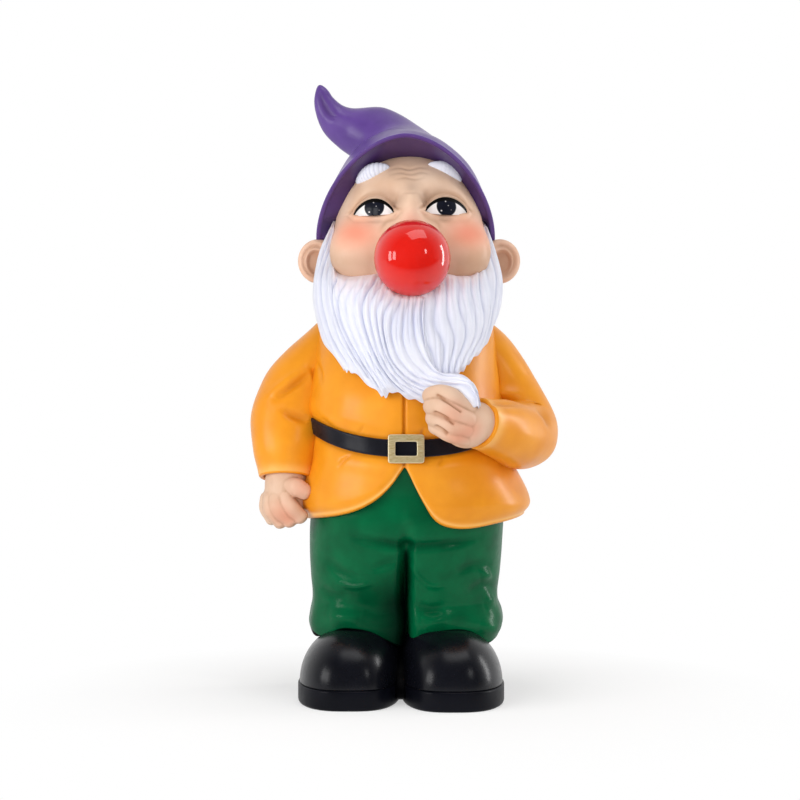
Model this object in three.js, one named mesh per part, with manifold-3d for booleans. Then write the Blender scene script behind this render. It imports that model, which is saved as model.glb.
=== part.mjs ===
// A resin garden gnome, made as separate castings that plug into each other.
// Millimetres, +Z up, and the gnome faces -Y. Right and left are the gnome's own, so its right is at -X.
import * as THREE from "three";
import { mergeVertices } from "three/addons/utils/BufferGeometryUtils.js";
import Module from "manifold-3d";

const wasm = await Module();
wasm.setup();
const { Vector3 } = THREE;

// Driving dimensions: the glue gap between two castings
const FIT = 0.3;

// Driving dimensions: soles and boots
const SOLE_LENGTH = 92;
const SOLE_WIDTH = 51;
const HEEL_WIDTH = 44;
const SOLE_HEIGHT = 9.5;
const SOLE_ROUNDING = 1.8;
const SOLES_APART = 0.4;
const FEET_MIDDLE = -2;
const TOES_FORWARD = 56;
const LEFT_STEP = 3;
const WELT = 0.8;
const BOOT_RISE = 25;
const TOE_CAP_LENGTH = 27;
const ANKLE_HALF_WIDTH = 15;
const ANKLE_HALF_LENGTH = 18;
const ANKLE_BACK = 3;
const LEFT_ANKLE_OUT = 3;
const ANKLE_POST = 12;
const WEB_WIDTH = 6;
const WEB_LENGTH = 54;
const WEB_FORWARD = 6;

// Driving dimensions: trousers
const CUFF_ABOVE_SOLE = 18.5;
const LEG_HALF_WIDTH = 46.5;
const LEG_FRONT = 35;
const LEG_BACK = 35;
const SEAT_FRONT = 45;
const SEAT_BACK = 43;
const CREASE_WIDTH = 6;

// Driving dimensions: jacket
const HEM_ABOVE_CUFF = 58;
const RIGHT_HEM_LIFT = 3;
const OPENING_RISE = 27;
const OPENING_SHIFT = -3;
const HEM_ROLL = 3.5;
const RIGHT_FLAP_SPREAD = 15.5;
const LEFT_FLAP_SPREAD = 7.4;
const BELT_ABOVE_HEM = 35.5;
const SHOULDER_ABOVE_BELT = 62;
const COLLAR_RISE = 14;
const SKIRT_HALF_WIDTH = 57;
const SKIRT_SWING = 4.5;
const SKIRT_FRONT = 54;
const SKIRT_BACK = 49;
const WAIST_HALF_WIDTH = 47;
const WAIST_FRONT = 51;
const WAIST_BACK = 42;
const CHEST_HALF_WIDTH = 46;
const CHEST_FRONT = 45;
const CHEST_BACK = 40;
const SHOULDER_HALF_WIDTH = 41;
const COLLAR_RADIUS = 20;
const JACKET_WALL = 3;

// Driving dimensions: belt and buckle
const BELT_WIDTH = 8;
const BELT_PROUD = 1.3;
const BELT_SEAT = 1.2;
const BELT_SIDE_RISE = 5.6;
const BELT_BACK_RISE = 16;
const BUCKLE_WIDTH = 16.9;
const BUCKLE_HEIGHT = 13.5;
const BUCKLE_BAR = 3.5;
const BUCKLE_THICKNESS = 2.4;
const BUCKLE_BEVEL = 0.5;

// Driving dimensions: arms and hands
const UPPER_ARM_OUT = 53;
const RIGHT_ELBOW_OUT = 60;
const RIGHT_CUFF_BELOW_BELT = 14;
const RIGHT_CUFF_FORWARD = 12;
const LEFT_ELBOW_OUT = 58;
const LEFT_FOREARM_RISE = 8;
const LEFT_CUFF_OUT = 33.5;
const LEFT_CUFF_FORWARD = 57.5;
const LEFT_CUFF_ABOVE_BELT = 12.5;
const SLEEVE_RADIUS = 17;
const CUFF_RADIUS = 12.2;
const WRIST_RADIUS = 10;
const WRIST_DEPTH = 7;
const PEG_RADIUS = 6;
const PEG_DEPTH = 9;
const FINGER_RADIUS = 3.9;

// Driving dimensions: head
const HEAD_ABOVE_SHOULDER = 40;
const HEAD_SHIFT = 2;
const HEAD_HALF_WIDTH = 36.5;
const HEAD_FRONT = 40;
const HEAD_BACK = 36;
const HEAD_UP = 45;
const HEAD_DOWN = 50;
const CHEEK_LIFT = 9;
const EYE_SPACING = 33.6;
const EYE_HALF_WIDTH = 9.2;
const EYE_HALF_HEIGHT = 4.9;
const EYE_DEPTH = 5;
const EYEBROW_LENGTH = 15.5;
const EYEBROW_HEIGHT = 7;
const EYEBROW_DEPTH = 6;
const EAR_HEIGHT = 22;
const EAR_WIDTH = 20.5;
const EAR_ROOT = 3;
const BALL_RADIUS = 17.3;
const BALL_STANDOFF = 13;
const BALL_DROP = 13.7;
const BALL_PEG_RADIUS = 4;
const BALL_PEG_DEPTH = 9;

// Driving dimensions: beard and hair
const BEARD_DROP = 80;
const BEARD_HALF_WIDTH = 46;
const BEARD_OVER_BELLY = 9;
const BEARD_OVER_CHIN = 18;
const BEARD_THICKNESS = 10;
const LOCK_BULGE = 2.6;
const LOCK_GROOVE = 2;
const BEARD_TUCK = 7;
const TAIL_FORWARD = 12;
const TAIL_REACH = 30;
const TAIL_RISE = 32;
const TAIL_BLEND = 13;
const HAIR_BULGE = 3;
const HAIR_DEPTH = 9;

// Driving dimensions: hat
const RIM_OVER_HEAD = 7.3;
const RIM_HALF_WIDTH = HEAD_HALF_WIDTH + RIM_OVER_HEAD;
const BRIM_OVER_FACE = 7;
const BRIM_FORWARD = HEAD_FRONT + BRIM_OVER_FACE;
const BRIM_RISE = 45;
const RIM_BEHIND_HEAD = 3;
const RIM_BACK = HEAD_BACK + RIM_BEHIND_HEAD;
const RIM_BACK_DROP = 22;
const CROWN_OVER_HEAD = 1.5;
const CROWN_DRAWN_IN = 9;
const CROWN_RISE = 17;
const HAT_WALL = 2.4;
const HAT_SEAT_RISE = 37;
const HAT_SEAT_INSET = 2;
const HAT_TIP_LEAN = 45;
const HAT_TIP_RISE = 78;

// Facets: how many sides go round a form and how many rings lie along it
const facets = {
  sole: { sides: 26 },
  boot: { sides: 22, rings: 6, post: 16 },
  jacket: { sides: 28, outside: 11, inside: 2 },
  trousers: { sides: 28, rings: 10 },
  belt: { steps: 30 },
  sleeve: { sides: 14, rings: 10, peg: 12 },
  hand: { wrist: 10, palmSides: 10, palmRings: 6, fingerSides: 6, fingerRings: 6 },
  head: { sides: 24, rings: 16 },
  ear: { sides: 10, rings: 6, bowlSides: 7, bowlRings: 4 },
  eye: { sides: 12, rings: 6 },
  eyebrow: { sides: 10, rings: 6 },
  ball: { sides: 20, rings: 10, peg: 8 },
  beard: { sweptLocks: 10, hangingLocks: 5, ringsInLock: 3, rows: 7 },
  hair: { locks: 6, rings: 12, rows: 5 },
  hat: { sides: 24, outside: 12 },
};

// Heights that follow from the driving dimensions
const cuffZ = SOLE_HEIGHT + CUFF_ABOVE_SOLE;
const hemZ = cuffZ + HEM_ABOVE_CUFF;
const openingZ = hemZ + OPENING_RISE;
const beltZ = hemZ + BELT_ABOVE_HEM;
const shoulderZ = beltZ + SHOULDER_ABOVE_BELT;
const headMiddle = new Vector3(HEAD_SHIFT, 0, shoulderZ + HEAD_ABOVE_SHOULDER);

// A number between two others, and a gentle step from 0 to 1
const mix = (from, to, share) => from + (to - from) * share;
const gentle = (share) => share * share * (3 - 2 * share);

// Signed power, which squares off or sharpens a round section
const signedPower = (value, power) => Math.sign(value) * Math.abs(value) ** power;

// A smooth run through rows of sizes ordered by "at": gives every size at any place between them.
function through(rows) {
  const slope = (i, key) => {
    const before = rows[Math.max(i - 1, 0)];
    const after = rows[Math.min(i + 1, rows.length - 1)];
    return (after[key] - before[key]) / (after.at - before.at);
  };
  return (at) => {
    const place = Math.min(Math.max(at, rows[0].at), rows[rows.length - 1].at);
    const i = Math.max(0, rows.findLastIndex((row, n) => row.at <= place && n < rows.length - 1));
    const span = rows[i + 1].at - rows[i].at;
    const t = (place - rows[i].at) / span;
    const sizes = {};
    for (const key of Object.keys(rows[0])) {
      const start = (1 + 2 * t) * (1 - t) ** 2 * rows[i][key] + t * t * (3 - 2 * t) * rows[i + 1][key];
      const bend = t * (1 - t) ** 2 * slope(i, key) - t * t * (1 - t) * slope(i + 1, key);
      sizes[key] = start + bend * span;
    }
    return sizes;
  };
}

// A geometry from points and triangles, turned inside out if its faces look inwards
function shell(points, faces) {
  let volume = 0;
  for (const [a, b, c] of faces) {
    volume += points[a].dot(points[b].clone().cross(points[c]));
  }
  const facing = volume < 0 ? faces.map(([a, b, c]) => [a, c, b]) : faces;
  const geometry = new THREE.BufferGeometry();
  geometry.setAttribute("position", new THREE.Float32BufferAttribute(points.flatMap((p) => p.toArray()), 3));
  geometry.setIndex(facing.flat());
  return geometry;
}

// A closed skin of rings between two end points: place(share, turn) gives the point at a share of the way
// along and an angle round, with no turn at the front.
function skin(rings, sides, place) {
  const points = [place(0, 0)];
  const faces = [];
  for (let r = 1; r < rings; r++) {
    for (let s = 0; s < sides; s++) {
      points.push(place(r / rings, (2 * Math.PI * s) / sides));
    }
  }
  points.push(place(1, 0));
  const last = points.length - 1;
  const at = (r, s) => 1 + (r - 1) * sides + (s % sides);
  for (let s = 0; s < sides; s++) {
    faces.push([0, at(1, s), at(1, s + 1)]);
    faces.push([last, at(rings - 1, s + 1), at(rings - 1, s)]);
    for (let r = 1; r < rings - 1; r++) {
      faces.push([at(r, s), at(r + 1, s), at(r + 1, s + 1)]);
      faces.push([at(r, s), at(r + 1, s + 1), at(r, s + 1)]);
    }
  }
  return shell(points, faces);
}

// A closed skin built from a list of rings, each a function of the angle; the first and last give one point.
function skinOfRings(ringList, sides) {
  const last = ringList.length - 1;
  return skin(last, sides, (share, turn) => ringList[Math.round(share * last)](turn));
}

// A closed hoop: the corners of one section carried all the way round.
function hoop(steps, corners, place) {
  const points = [];
  const faces = [];
  for (let i = 0; i < steps; i++) {
    for (const corner of corners) {
      points.push(place((2 * Math.PI * i) / steps, corner));
    }
  }
  const at = (i, c) => (i % steps) * corners.length + (c % corners.length);
  for (let i = 0; i < steps; i++) {
    for (let c = 0; c < corners.length; c++) {
      faces.push([at(i, c), at(i + 1, c), at(i + 1, c + 1)]);
      faces.push([at(i, c), at(i + 1, c + 1), at(i, c + 1)]);
    }
  }
  return shell(points, faces);
}

// A bent limb: round rings along a smooth path, with a radius at each share of its length.
// A "round" end swells from a point, and a flat one is closed straight across.
function limb(path, radii, sides, steps, roundStart, roundEnd) {
  const curve = new THREE.CatmullRomCurve3(path);
  const frames = curve.computeFrenetFrames(steps, false);
  const radiusAt = through(radii);
  const ringAt = (n) => (turn) => {
    const share = n / steps;
    const ends = (roundStart && n === 0) || (roundEnd && n === steps) ? 0.45 : 1;
    const radius = radiusAt(share).radius * ends;
    return curve.getPointAt(share)
      .addScaledVector(frames.normals[n], radius * Math.cos(turn))
      .addScaledVector(frames.binormals[n], radius * Math.sin(turn));
  };
  const rings = Array.from({ length: steps + 1 }, (_, n) => ringAt(n));
  return skinOfRings([() => curve.getPointAt(0), ...rings, () => curve.getPointAt(1)], sides);
}

// An egg-shaped lump with its own three half-sizes, tilted in the view from the front and turned to one side
function lump(middle, halves, tilt, turn, around, along) {
  const geometry = new THREE.SphereGeometry(1, around, along);
  geometry.rotateX(Math.PI / 2);
  geometry.scale(halves.x, halves.y, halves.z);
  geometry.rotateY(THREE.MathUtils.degToRad(tilt));
  geometry.rotateZ(THREE.MathUtils.degToRad(turn));
  geometry.translate(middle.x, middle.y, middle.z);
  return geometry;
}

// A round pin from one point to another
function pin(from, to, radius, sides) {
  const length = from.distanceTo(to);
  const geometry = new THREE.CylinderGeometry(radius, radius, length, sides);
  const along = to.clone().sub(from).normalize();
  const turn = new THREE.Quaternion().setFromUnitVectors(new Vector3(0, 1, 0), along);
  geometry.applyQuaternion(turn);
  geometry.translate(...from.clone().add(to).multiplyScalar(0.5).toArray());
  return geometry;
}

// Geometry with only its positions, and its shared corners merged
function merged(geometry) {
  const bare = geometry.clone();
  bare.deleteAttribute("normal");
  bare.deleteAttribute("uv");
  return mergeVertices(bare, 1e-4);
}

// The same surface moved out along its own normals by the glue gap
function grown(geometry) {
  const copy = merged(geometry);
  copy.computeVertexNormals();
  const { position, normal } = copy.attributes;
  for (let i = 0; i < position.count; i++) {
    const out = new Vector3().fromBufferAttribute(normal, i);
    const point = new Vector3().fromBufferAttribute(position, i).addScaledVector(out, FIT);
    position.setXYZ(i, point.x, point.y, point.z);
  }
  copy.deleteAttribute("normal");
  return copy;
}

function solidOf(geometry) {
  const ready = merged(geometry);
  return new wasm.Manifold(new wasm.Mesh({
    numProp: 3,
    vertProperties: new Float32Array(ready.attributes.position.array),
    triVerts: new Uint32Array(ready.index.array),
  }));
}

function geometryOf(solid) {
  const mesh = solid.getMesh();
  const geometry = new THREE.BufferGeometry();
  geometry.setAttribute("position", new THREE.BufferAttribute(mesh.vertProperties, 3));
  geometry.setIndex(new THREE.BufferAttribute(mesh.triVerts, 1));
  return geometry;
}

// Castings joined into one, and a casting with seats cut for its neighbours
const joined = (...forms) => geometryOf(forms.map(solidOf).reduce((sum, next) => sum.add(next)));
const seated = (form, ...others) => geometryOf(
  others.reduce((rest, other) => rest.subtract(solidOf(grown(other))), solidOf(form)),
);

// A point on a rounded section at one height, with its own depth to the front and to the back
function onSection(turn, size, power) {
  const side = signedPower(Math.sin(turn), 2 / power);
  const ahead = signedPower(Math.cos(turn), 2 / power);
  const depth = ahead > 0 ? size.front : size.back;
  return new Vector3(size.x + size.wide * side, -depth * ahead, size.at);
}

// Angles that crowd towards the front and back, where the creases are
const crowded = (turn) => turn - 0.3 * Math.sin(2 * turn);

// Soles: an egg-shaped outline, wider at the toes and fuller along the inner side
function footOutline(side, turn, inset, z) {
  const middleX = FEET_MIDDLE + side * (SOLES_APART + SOLE_WIDTH) / 2;
  const middleY = SOLE_LENGTH / 2 - TOES_FORWARD - (side > 0 ? LEFT_STEP : 0);
  const towardsToe = gentle((1 + Math.cos(turn)) / 2);
  const outwards = Math.sin(turn) * side;
  const half = (outwards > 0 ? mix(HEEL_WIDTH, SOLE_WIDTH, towardsToe) : SOLE_WIDTH) / 2 - inset;
  const x = middleX + half * signedPower(Math.sin(turn), outwards > 0 ? 0.78 : 0.6);
  const y = middleY - (SOLE_LENGTH / 2 - inset) * signedPower(Math.cos(turn), 0.92);
  return new Vector3(x, y, z);
}

function footMiddle(side, z) {
  const toe = footOutline(side, 0, 0, z);
  const heel = footOutline(side, Math.PI, 0, z);
  return toe.add(heel).multiplyScalar(0.5);
}

function soleForm(side) {
  const lip = SOLE_ROUNDING / 2;
  return skinOfRings([
    () => footMiddle(side, 0),
    (turn) => footOutline(side, turn, SOLE_ROUNDING, 0),
    (turn) => footOutline(side, turn, SOLE_ROUNDING * 0.3, SOLE_ROUNDING * 0.3),
    (turn) => footOutline(side, turn, 0, SOLE_ROUNDING),
    (turn) => footOutline(side, turn, 0, SOLE_HEIGHT - lip),
    (turn) => footOutline(side, turn, lip, SOLE_HEIGHT),
    () => footMiddle(side, SOLE_HEIGHT),
  ], facets.sole.sides);
}

// Boots: a dome over the sole that is highest above the toe cap and full along the inner side, and an oval
// ankle post. The left one carries the thin web that joins the feet of the figure.
function bootDome(side) {
  const floor = SOLE_HEIGHT + FIT;
  const { rings, sides } = facets.boot;
  const crown = footOutline(side, 0, 0, floor + BOOT_RISE).setX(footMiddle(side, 0).x);
  crown.y += TOE_CAP_LENGTH;
  const dome = (n) => (turn) => {
    const angle = (n / rings) * (Math.PI / 2);
    const inner = Math.max(0, -Math.sin(turn) * side) ** 4;
    const edge = footOutline(side, turn, WELT * (1 - inner), 0);
    const point = crown.clone().lerp(edge, Math.cos(angle) ** mix(1, 0.1, inner));
    return point.setZ(floor + BOOT_RISE * Math.sin(angle));
  };
  const list = Array.from({ length: rings }, (_, n) => dome(n));
  return skinOfRings([() => footMiddle(side, floor), ...list, () => crown], sides);
}

function anklePost(side) {
  const low = SOLE_HEIGHT + 2 * FIT;
  const high = SOLE_HEIGHT + FIT + BOOT_RISE + ANKLE_POST;
  const post = new THREE.CylinderGeometry(1, 1, high - low, facets.boot.post);
  post.rotateX(Math.PI / 2);
  post.scale(ANKLE_HALF_WIDTH, ANKLE_HALF_LENGTH, 1);
  post.translate(footMiddle(side, 0).x + (side > 0 ? LEFT_ANKLE_OUT : 0), ANKLE_BACK, (low + high) / 2);
  return post;
}

function bootWeb() {
  const low = SOLE_HEIGHT + 2 * FIT;
  const high = cuffZ - FIT;
  const web = new THREE.BoxGeometry(WEB_WIDTH, WEB_LENGTH, high - low);
  web.translate(FEET_MIDDLE, -WEB_FORWARD, (low + high) / 2);
  return web;
}

// The jacket's sections from the hem up to the collar
const collarZ = shoulderZ + COLLAR_RISE;
const jacketSize = through([
  {
    at: hemZ, x: SKIRT_SWING, wide: SKIRT_HALF_WIDTH - HEM_ROLL,
    front: SKIRT_FRONT - HEM_ROLL / 2, back: SKIRT_BACK - HEM_ROLL / 2,
  },
  {
    at: mix(hemZ, beltZ, 0.27), x: SKIRT_SWING, wide: SKIRT_HALF_WIDTH,
    front: SKIRT_FRONT, back: SKIRT_BACK,
  },
  {
    at: mix(hemZ, beltZ, 0.75), x: SKIRT_SWING * 0.55, wide: mix(SKIRT_HALF_WIDTH, WAIST_HALF_WIDTH, 0.6),
    front: mix(SKIRT_FRONT, WAIST_FRONT, 0.5), back: mix(SKIRT_BACK, WAIST_BACK, 0.5),
  },
  {
    at: beltZ + BELT_WIDTH / 2, x: 1, wide: WAIST_HALF_WIDTH, front: WAIST_FRONT, back: WAIST_BACK,
  },
  {
    at: mix(beltZ, shoulderZ, 0.35), x: 0, wide: WAIST_HALF_WIDTH + 1,
    front: WAIST_FRONT + 0.5, back: WAIST_BACK,
  },
  {
    at: mix(beltZ, shoulderZ, 0.65), x: 0, wide: CHEST_HALF_WIDTH, front: CHEST_FRONT, back: CHEST_BACK,
  },
  {
    at: shoulderZ, x: 1, wide: SHOULDER_HALF_WIDTH, front: CHEST_FRONT * 0.78, back: CHEST_BACK * 0.86,
  },
  {
    at: mix(shoulderZ, collarZ, 0.6), x: 1, wide: mix(SHOULDER_HALF_WIDTH, COLLAR_RADIUS, 0.45),
    front: mix(CHEST_FRONT * 0.78, COLLAR_RADIUS, 0.5), back: mix(CHEST_BACK * 0.86, COLLAR_RADIUS, 0.35),
  },
  {
    at: collarZ, x: 1, wide: COLLAR_RADIUS, front: COLLAR_RADIUS, back: COLLAR_RADIUS,
  },
]);
const JACKET_POWER = 2.15;
const jacketPoint = (turn, z, outwards = 0) => {
  const size = jacketSize(z);
  size.wide += outwards;
  size.front += outwards;
  size.back += outwards;
  size.at = z;
  return onSection(turn, size, JACKET_POWER);
};

// The hem drops from the point of the front opening to each side, faster on the gnome's left
function hemHeight(turn) {
  const x = jacketPoint(turn, hemZ).x - jacketPoint(0, hemZ).x - OPENING_SHIFT;
  const onRight = x < 0;
  const spread = onRight ? RIGHT_FLAP_SPREAD : LEFT_FLAP_SPREAD;
  const low = hemZ + (onRight ? RIGHT_HEM_LIFT * Math.max(0, Math.cos(turn)) : 0);
  const inFront = gentle(Math.max(0, Math.cos(turn)) ** 0.5);
  return low + (openingZ - low) * Math.exp(-((Math.abs(x) / spread) ** 1.1)) * inFront;
}

// The jacket with its skirt hollow, from the collar down the outside, round the hem and up the inside
const roofZ = openingZ + FIT;
function jacketForm() {
  const { outside, inside, sides } = facets.jacket;
  const outer = (n) => (turn) => {
    const angle = crowded(turn);
    return jacketPoint(angle, mix(collarZ, hemHeight(angle), n / outside));
  };
  const inner = (n) => (turn) => {
    const angle = crowded(turn);
    const z = mix(hemHeight(angle) + JACKET_WALL * 0.2, roofZ, n / inside);
    return jacketPoint(angle, z, -JACKET_WALL);
  };
  const rings = [() => new Vector3(jacketSize(collarZ).x, 0, collarZ)];
  for (let n = 0; n <= outside; n++) {
    rings.push(outer(n));
  }
  for (let n = 0; n <= inside; n++) {
    rings.push(inner(n));
  }
  rings.push(() => new Vector3(jacketSize(roofZ).x, 0, roofZ));
  return skinOfRings(rings, sides);
}

// Trousers: two legs that part at a crease, gathered over the boots, under a waist that fills the jacket
const waistTop = openingZ - FIT;
const waistSize = { ...jacketSize(waistTop) };
const trouserInset = JACKET_WALL + 2 * FIT;
const trouserSize = through([
  { at: cuffZ, x: 0, wide: LEG_HALF_WIDTH - 1.5, front: LEG_FRONT - 4, back: LEG_BACK - 3, crease: 0.85 },
  { at: cuffZ + 7, x: 0.5, wide: LEG_HALF_WIDTH + 1, front: LEG_FRONT - 0.5, back: LEG_BACK, crease: 0.75 },
  { at: cuffZ + 13, x: 0.5, wide: LEG_HALF_WIDTH + 0.6, front: LEG_FRONT, back: LEG_BACK, crease: 0.66 },
  { at: cuffZ + 19, x: 0, wide: LEG_HALF_WIDTH - 0.8, front: LEG_FRONT - 0.5, back: LEG_BACK, crease: 0.55 },
  { at: cuffZ + 30, x: 0, wide: LEG_HALF_WIDTH - 0.4, front: mix(LEG_FRONT, SEAT_FRONT, 0.4),
    back: mix(LEG_BACK, SEAT_BACK, 0.3), crease: 0.4 },
  { at: hemZ - 12, x: 0.5, wide: LEG_HALF_WIDTH + 0.6, front: mix(LEG_FRONT, SEAT_FRONT, 0.8),
    back: mix(LEG_BACK, SEAT_BACK, 0.8), crease: 0.2 },
  { at: hemZ, x: 1, wide: LEG_HALF_WIDTH + 1, front: SEAT_FRONT, back: SEAT_BACK, crease: 0.08 },
  {
    at: mix(hemZ, waistTop, 0.5), x: 2, wide: LEG_HALF_WIDTH,
    front: SEAT_FRONT + 1, back: SEAT_BACK, crease: 0,
  },
  { at: waistTop, x: waistSize.x, wide: waistSize.wide - trouserInset, front: waistSize.front - trouserInset,
    back: waistSize.back - trouserInset, crease: 0 },
]);

function trouserPoint(turn, z) {
  const size = trouserSize(z);
  size.at = z;
  const point = onSection(turn, size, 2.3);
  const nearMiddle = Math.exp(-(((point.x - size.x) / CREASE_WIDTH) ** 2));
  point.y *= 1 - size.crease * nearMiddle;
  return point;
}

function trousersForm() {
  const { rings, sides } = facets.trousers;
  return skinOfRings([
    () => new Vector3(0, 0, cuffZ),
    ...Array.from({ length: rings + 1 }, (_, n) => (turn) =>
      trouserPoint(crowded(turn), mix(cuffZ, waistTop, n / rings))),
    () => new Vector3(waistSize.x, 0, waistTop),
  ], sides);
}

// Belt: a band that dips at the front of the belly
function beltHeight(turn) {
  return beltZ + BELT_BACK_RISE * Math.sin(turn / 2) ** 2 + BELT_SIDE_RISE * Math.sin(turn) ** 2;
}

function beltForm() {
  const half = BELT_WIDTH / 2;
  const corners = [[half, -BELT_SEAT], [half, BELT_PROUD], [-half, BELT_PROUD], [-half, -BELT_SEAT]];
  return hoop(facets.belt.steps, corners, (turn, [up, out]) => jacketPoint(turn, beltHeight(turn) + up, out));
}

// Buckle: a plain rectangular frame that lies on the belt, turned to the slope of the belly
function buckleForm() {
  const frame = (width, height) => new THREE.Shape([
    new THREE.Vector2(-width / 2, -height / 2), new THREE.Vector2(width / 2, -height / 2),
    new THREE.Vector2(width / 2, height / 2), new THREE.Vector2(-width / 2, height / 2),
  ]);
  const outline = frame(BUCKLE_WIDTH - 2 * BUCKLE_BEVEL, BUCKLE_HEIGHT - 2 * BUCKLE_BEVEL);
  const inset = 2 * (BUCKLE_BAR - BUCKLE_BEVEL);
  outline.holes.push(frame(BUCKLE_WIDTH - inset, BUCKLE_HEIGHT - inset));
  const geometry = new THREE.ExtrudeGeometry(outline, {
    depth: BUCKLE_THICKNESS - 2 * BUCKLE_BEVEL,
    bevelSize: BUCKLE_BEVEL,
    bevelThickness: BUCKLE_BEVEL,
    bevelSegments: 1,
  });
  const above = jacketPoint(0, beltZ + BELT_WIDTH / 2);
  const below = jacketPoint(0, beltZ - BELT_WIDTH / 2);
  const slope = Math.atan2(below.y - above.y, BELT_WIDTH);
  geometry.rotateX(Math.PI / 2 - slope);
  const front = jacketPoint(0, beltZ, BELT_PROUD + FIT);
  geometry.translate(front.x, front.y, beltZ);
  return geometry;
}

// Arms: each path runs from inside the shoulder, over the elbow, to the cuff. The upper arm is placed from
// the shoulder and the forearm from the belt.
const fromShoulder = (out, ahead, down) => new Vector3(out, -ahead, shoulderZ - down);
const fromBelt = (out, ahead, up) => new Vector3(out, -ahead, beltZ + up);
const armRoot = SHOULDER_HALF_WIDTH - SLEEVE_RADIUS;
const armTop = SHOULDER_HALF_WIDTH + 1;
const rightArm = [
  fromShoulder(-armRoot, -2, SLEEVE_RADIUS * 0.47),
  fromShoulder(-armTop, -2, SLEEVE_RADIUS * 1.3),
  fromShoulder(-UPPER_ARM_OUT, -2, SLEEVE_RADIUS * 2),
  fromBelt(-RIGHT_ELBOW_OUT, 1, RIGHT_CUFF_BELOW_BELT * 0.85),
  fromBelt(-RIGHT_ELBOW_OUT - 0.5, RIGHT_CUFF_FORWARD * 0.6, -RIGHT_CUFF_BELOW_BELT * 0.15),
  fromBelt(-RIGHT_ELBOW_OUT + 1.5, RIGHT_CUFF_FORWARD, -RIGHT_CUFF_BELOW_BELT),
];
const leftArm = [
  fromShoulder(armRoot, -2, SLEEVE_RADIUS * 0.41),
  fromShoulder(armTop, -2, SLEEVE_RADIUS * 1.14),
  fromShoulder(UPPER_ARM_OUT - 1.5, -1, SLEEVE_RADIUS * 2.18),
  fromBelt(LEFT_ELBOW_OUT, LEFT_CUFF_FORWARD * 0.14, LEFT_FOREARM_RISE),
  fromBelt(mix(LEFT_CUFF_OUT, LEFT_ELBOW_OUT, 0.8), LEFT_CUFF_FORWARD * 0.47, LEFT_FOREARM_RISE * 0.75),
  fromBelt(mix(LEFT_CUFF_OUT, LEFT_ELBOW_OUT, 0.47), LEFT_CUFF_FORWARD * 0.73, LEFT_FOREARM_RISE * 1.12),
  fromBelt(LEFT_CUFF_OUT, LEFT_CUFF_FORWARD, LEFT_CUFF_ABOVE_BELT),
];

function sleeveForm(arm) {
  const radii = [
    { at: 0, radius: SLEEVE_RADIUS * 0.8 },
    { at: 0.25, radius: SLEEVE_RADIUS * 0.95 },
    { at: 0.6, radius: SLEEVE_RADIUS * 0.96 },
    { at: 0.85, radius: mix(SLEEVE_RADIUS, CUFF_RADIUS, 0.6) },
    { at: 1, radius: CUFF_RADIUS },
  ];
  return limb(arm, radii, facets.sleeve.sides, facets.sleeve.rings, true, false);
}

function shoulderPeg(arm) {
  const along = arm[1].clone().sub(arm[0]).normalize();
  const start = arm[1].clone().addScaledVector(along, -PEG_DEPTH);
  return pin(start, arm[1].clone().lerp(arm[2], 0.8), PEG_RADIUS, facets.sleeve.peg);
}

// Hands: a wrist that plugs into the cuff, a palm, a thumb and four curled fingers, all placed from the cuff
function handPieces(arm, palm, palmHalves, digits) {
  const wrist = arm[arm.length - 1];
  const inwards = arm[arm.length - 2].clone().sub(wrist).normalize();
  const from = (offset) => wrist.clone().add(offset);
  const { wrist: wristSides, palmSides, palmRings, fingerSides, fingerRings } = facets.hand;
  const forms = [
    pin(wrist.clone().addScaledVector(inwards, WRIST_DEPTH), from(palm), WRIST_RADIUS, wristSides),
    lump(from(palm), palmHalves, 0, 0, palmSides, palmRings),
  ];
  for (const { path, thick } of digits) {
    const radius = FINGER_RADIUS * thick;
    const radii = [{ at: 0, radius }, { at: 0.7, radius }, { at: 1, radius: radius * 0.85 }];
    const bones = path.map(([x, y, z]) => from(new Vector3(x, y, z)));
    forms.push(limb(bones, radii, fingerSides, fingerRings, true, true));
  }
  return forms;
}

function rightHandPieces() {
  return handPieces(rightArm, new Vector3(-1, -2, -8), new Vector3(9.5, 8.5, 11), [
    { path: [[2, -5, -4], [8, -10, -6], [13.5, -10, -9]], thick: 0.95 },
    { path: [[0, -7, -6], [3, -10, -14], [8, -9, -18], [12, -5, -19]], thick: 0.95 },
    { path: [[-4, -4, -8], [-2.5, -7, -17], [2, -6, -22], [7, -2, -22]], thick: 0.95 },
    { path: [[-6.5, 0, -9], [-6, -2, -18], [-2, -2, -22.5], [3, 1, -22]], thick: 0.88 },
    { path: [[-7, 4, -9], [-6.5, 4, -17], [-3, 4, -21], [2, 5, -20]], thick: 0.8 },
  ]);
}

function leftHandPieces() {
  return handPieces(leftArm, new Vector3(-6, -3, -1.5), new Vector3(12, 9, 12), [
    {
      path: [[-4.5, -5.5, 4.5], [-9.5, -11, 8], [-15, -10.5, 11.5], [-18, -7, 13.5], [-17.5, -2.5, 14]],
      thick: 1.08,
    },
    {
      path: [[-4.5, -7.5, -0.5], [-10.5, -12.5, 2.5], [-17.5, -12, 6.5], [-21.5, -8, 9], [-21, -3.5, 9.5]],
      thick: 1.08,
    },
    {
      path: [[-5.5, -7.5, -5.5], [-12, -12, -4], [-18.5, -11, -1], [-22, -7, 1], [-21, -2.5, 2]],
      thick: 1,
    },
    {
      path: [[-6.5, -5.5, -8.5], [-12, -10, -8.5], [-17, -9, -6.5], [-20, -5.5, -5], [-18.5, -1.5, -4]],
      thick: 0.92,
    },
    { path: [[-4.5, 1.5, 5.5], [-10.5, 1.5, 11.5], [-16.5, -0.5, 16.5]], thick: 1 },
  ]);
}

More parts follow.
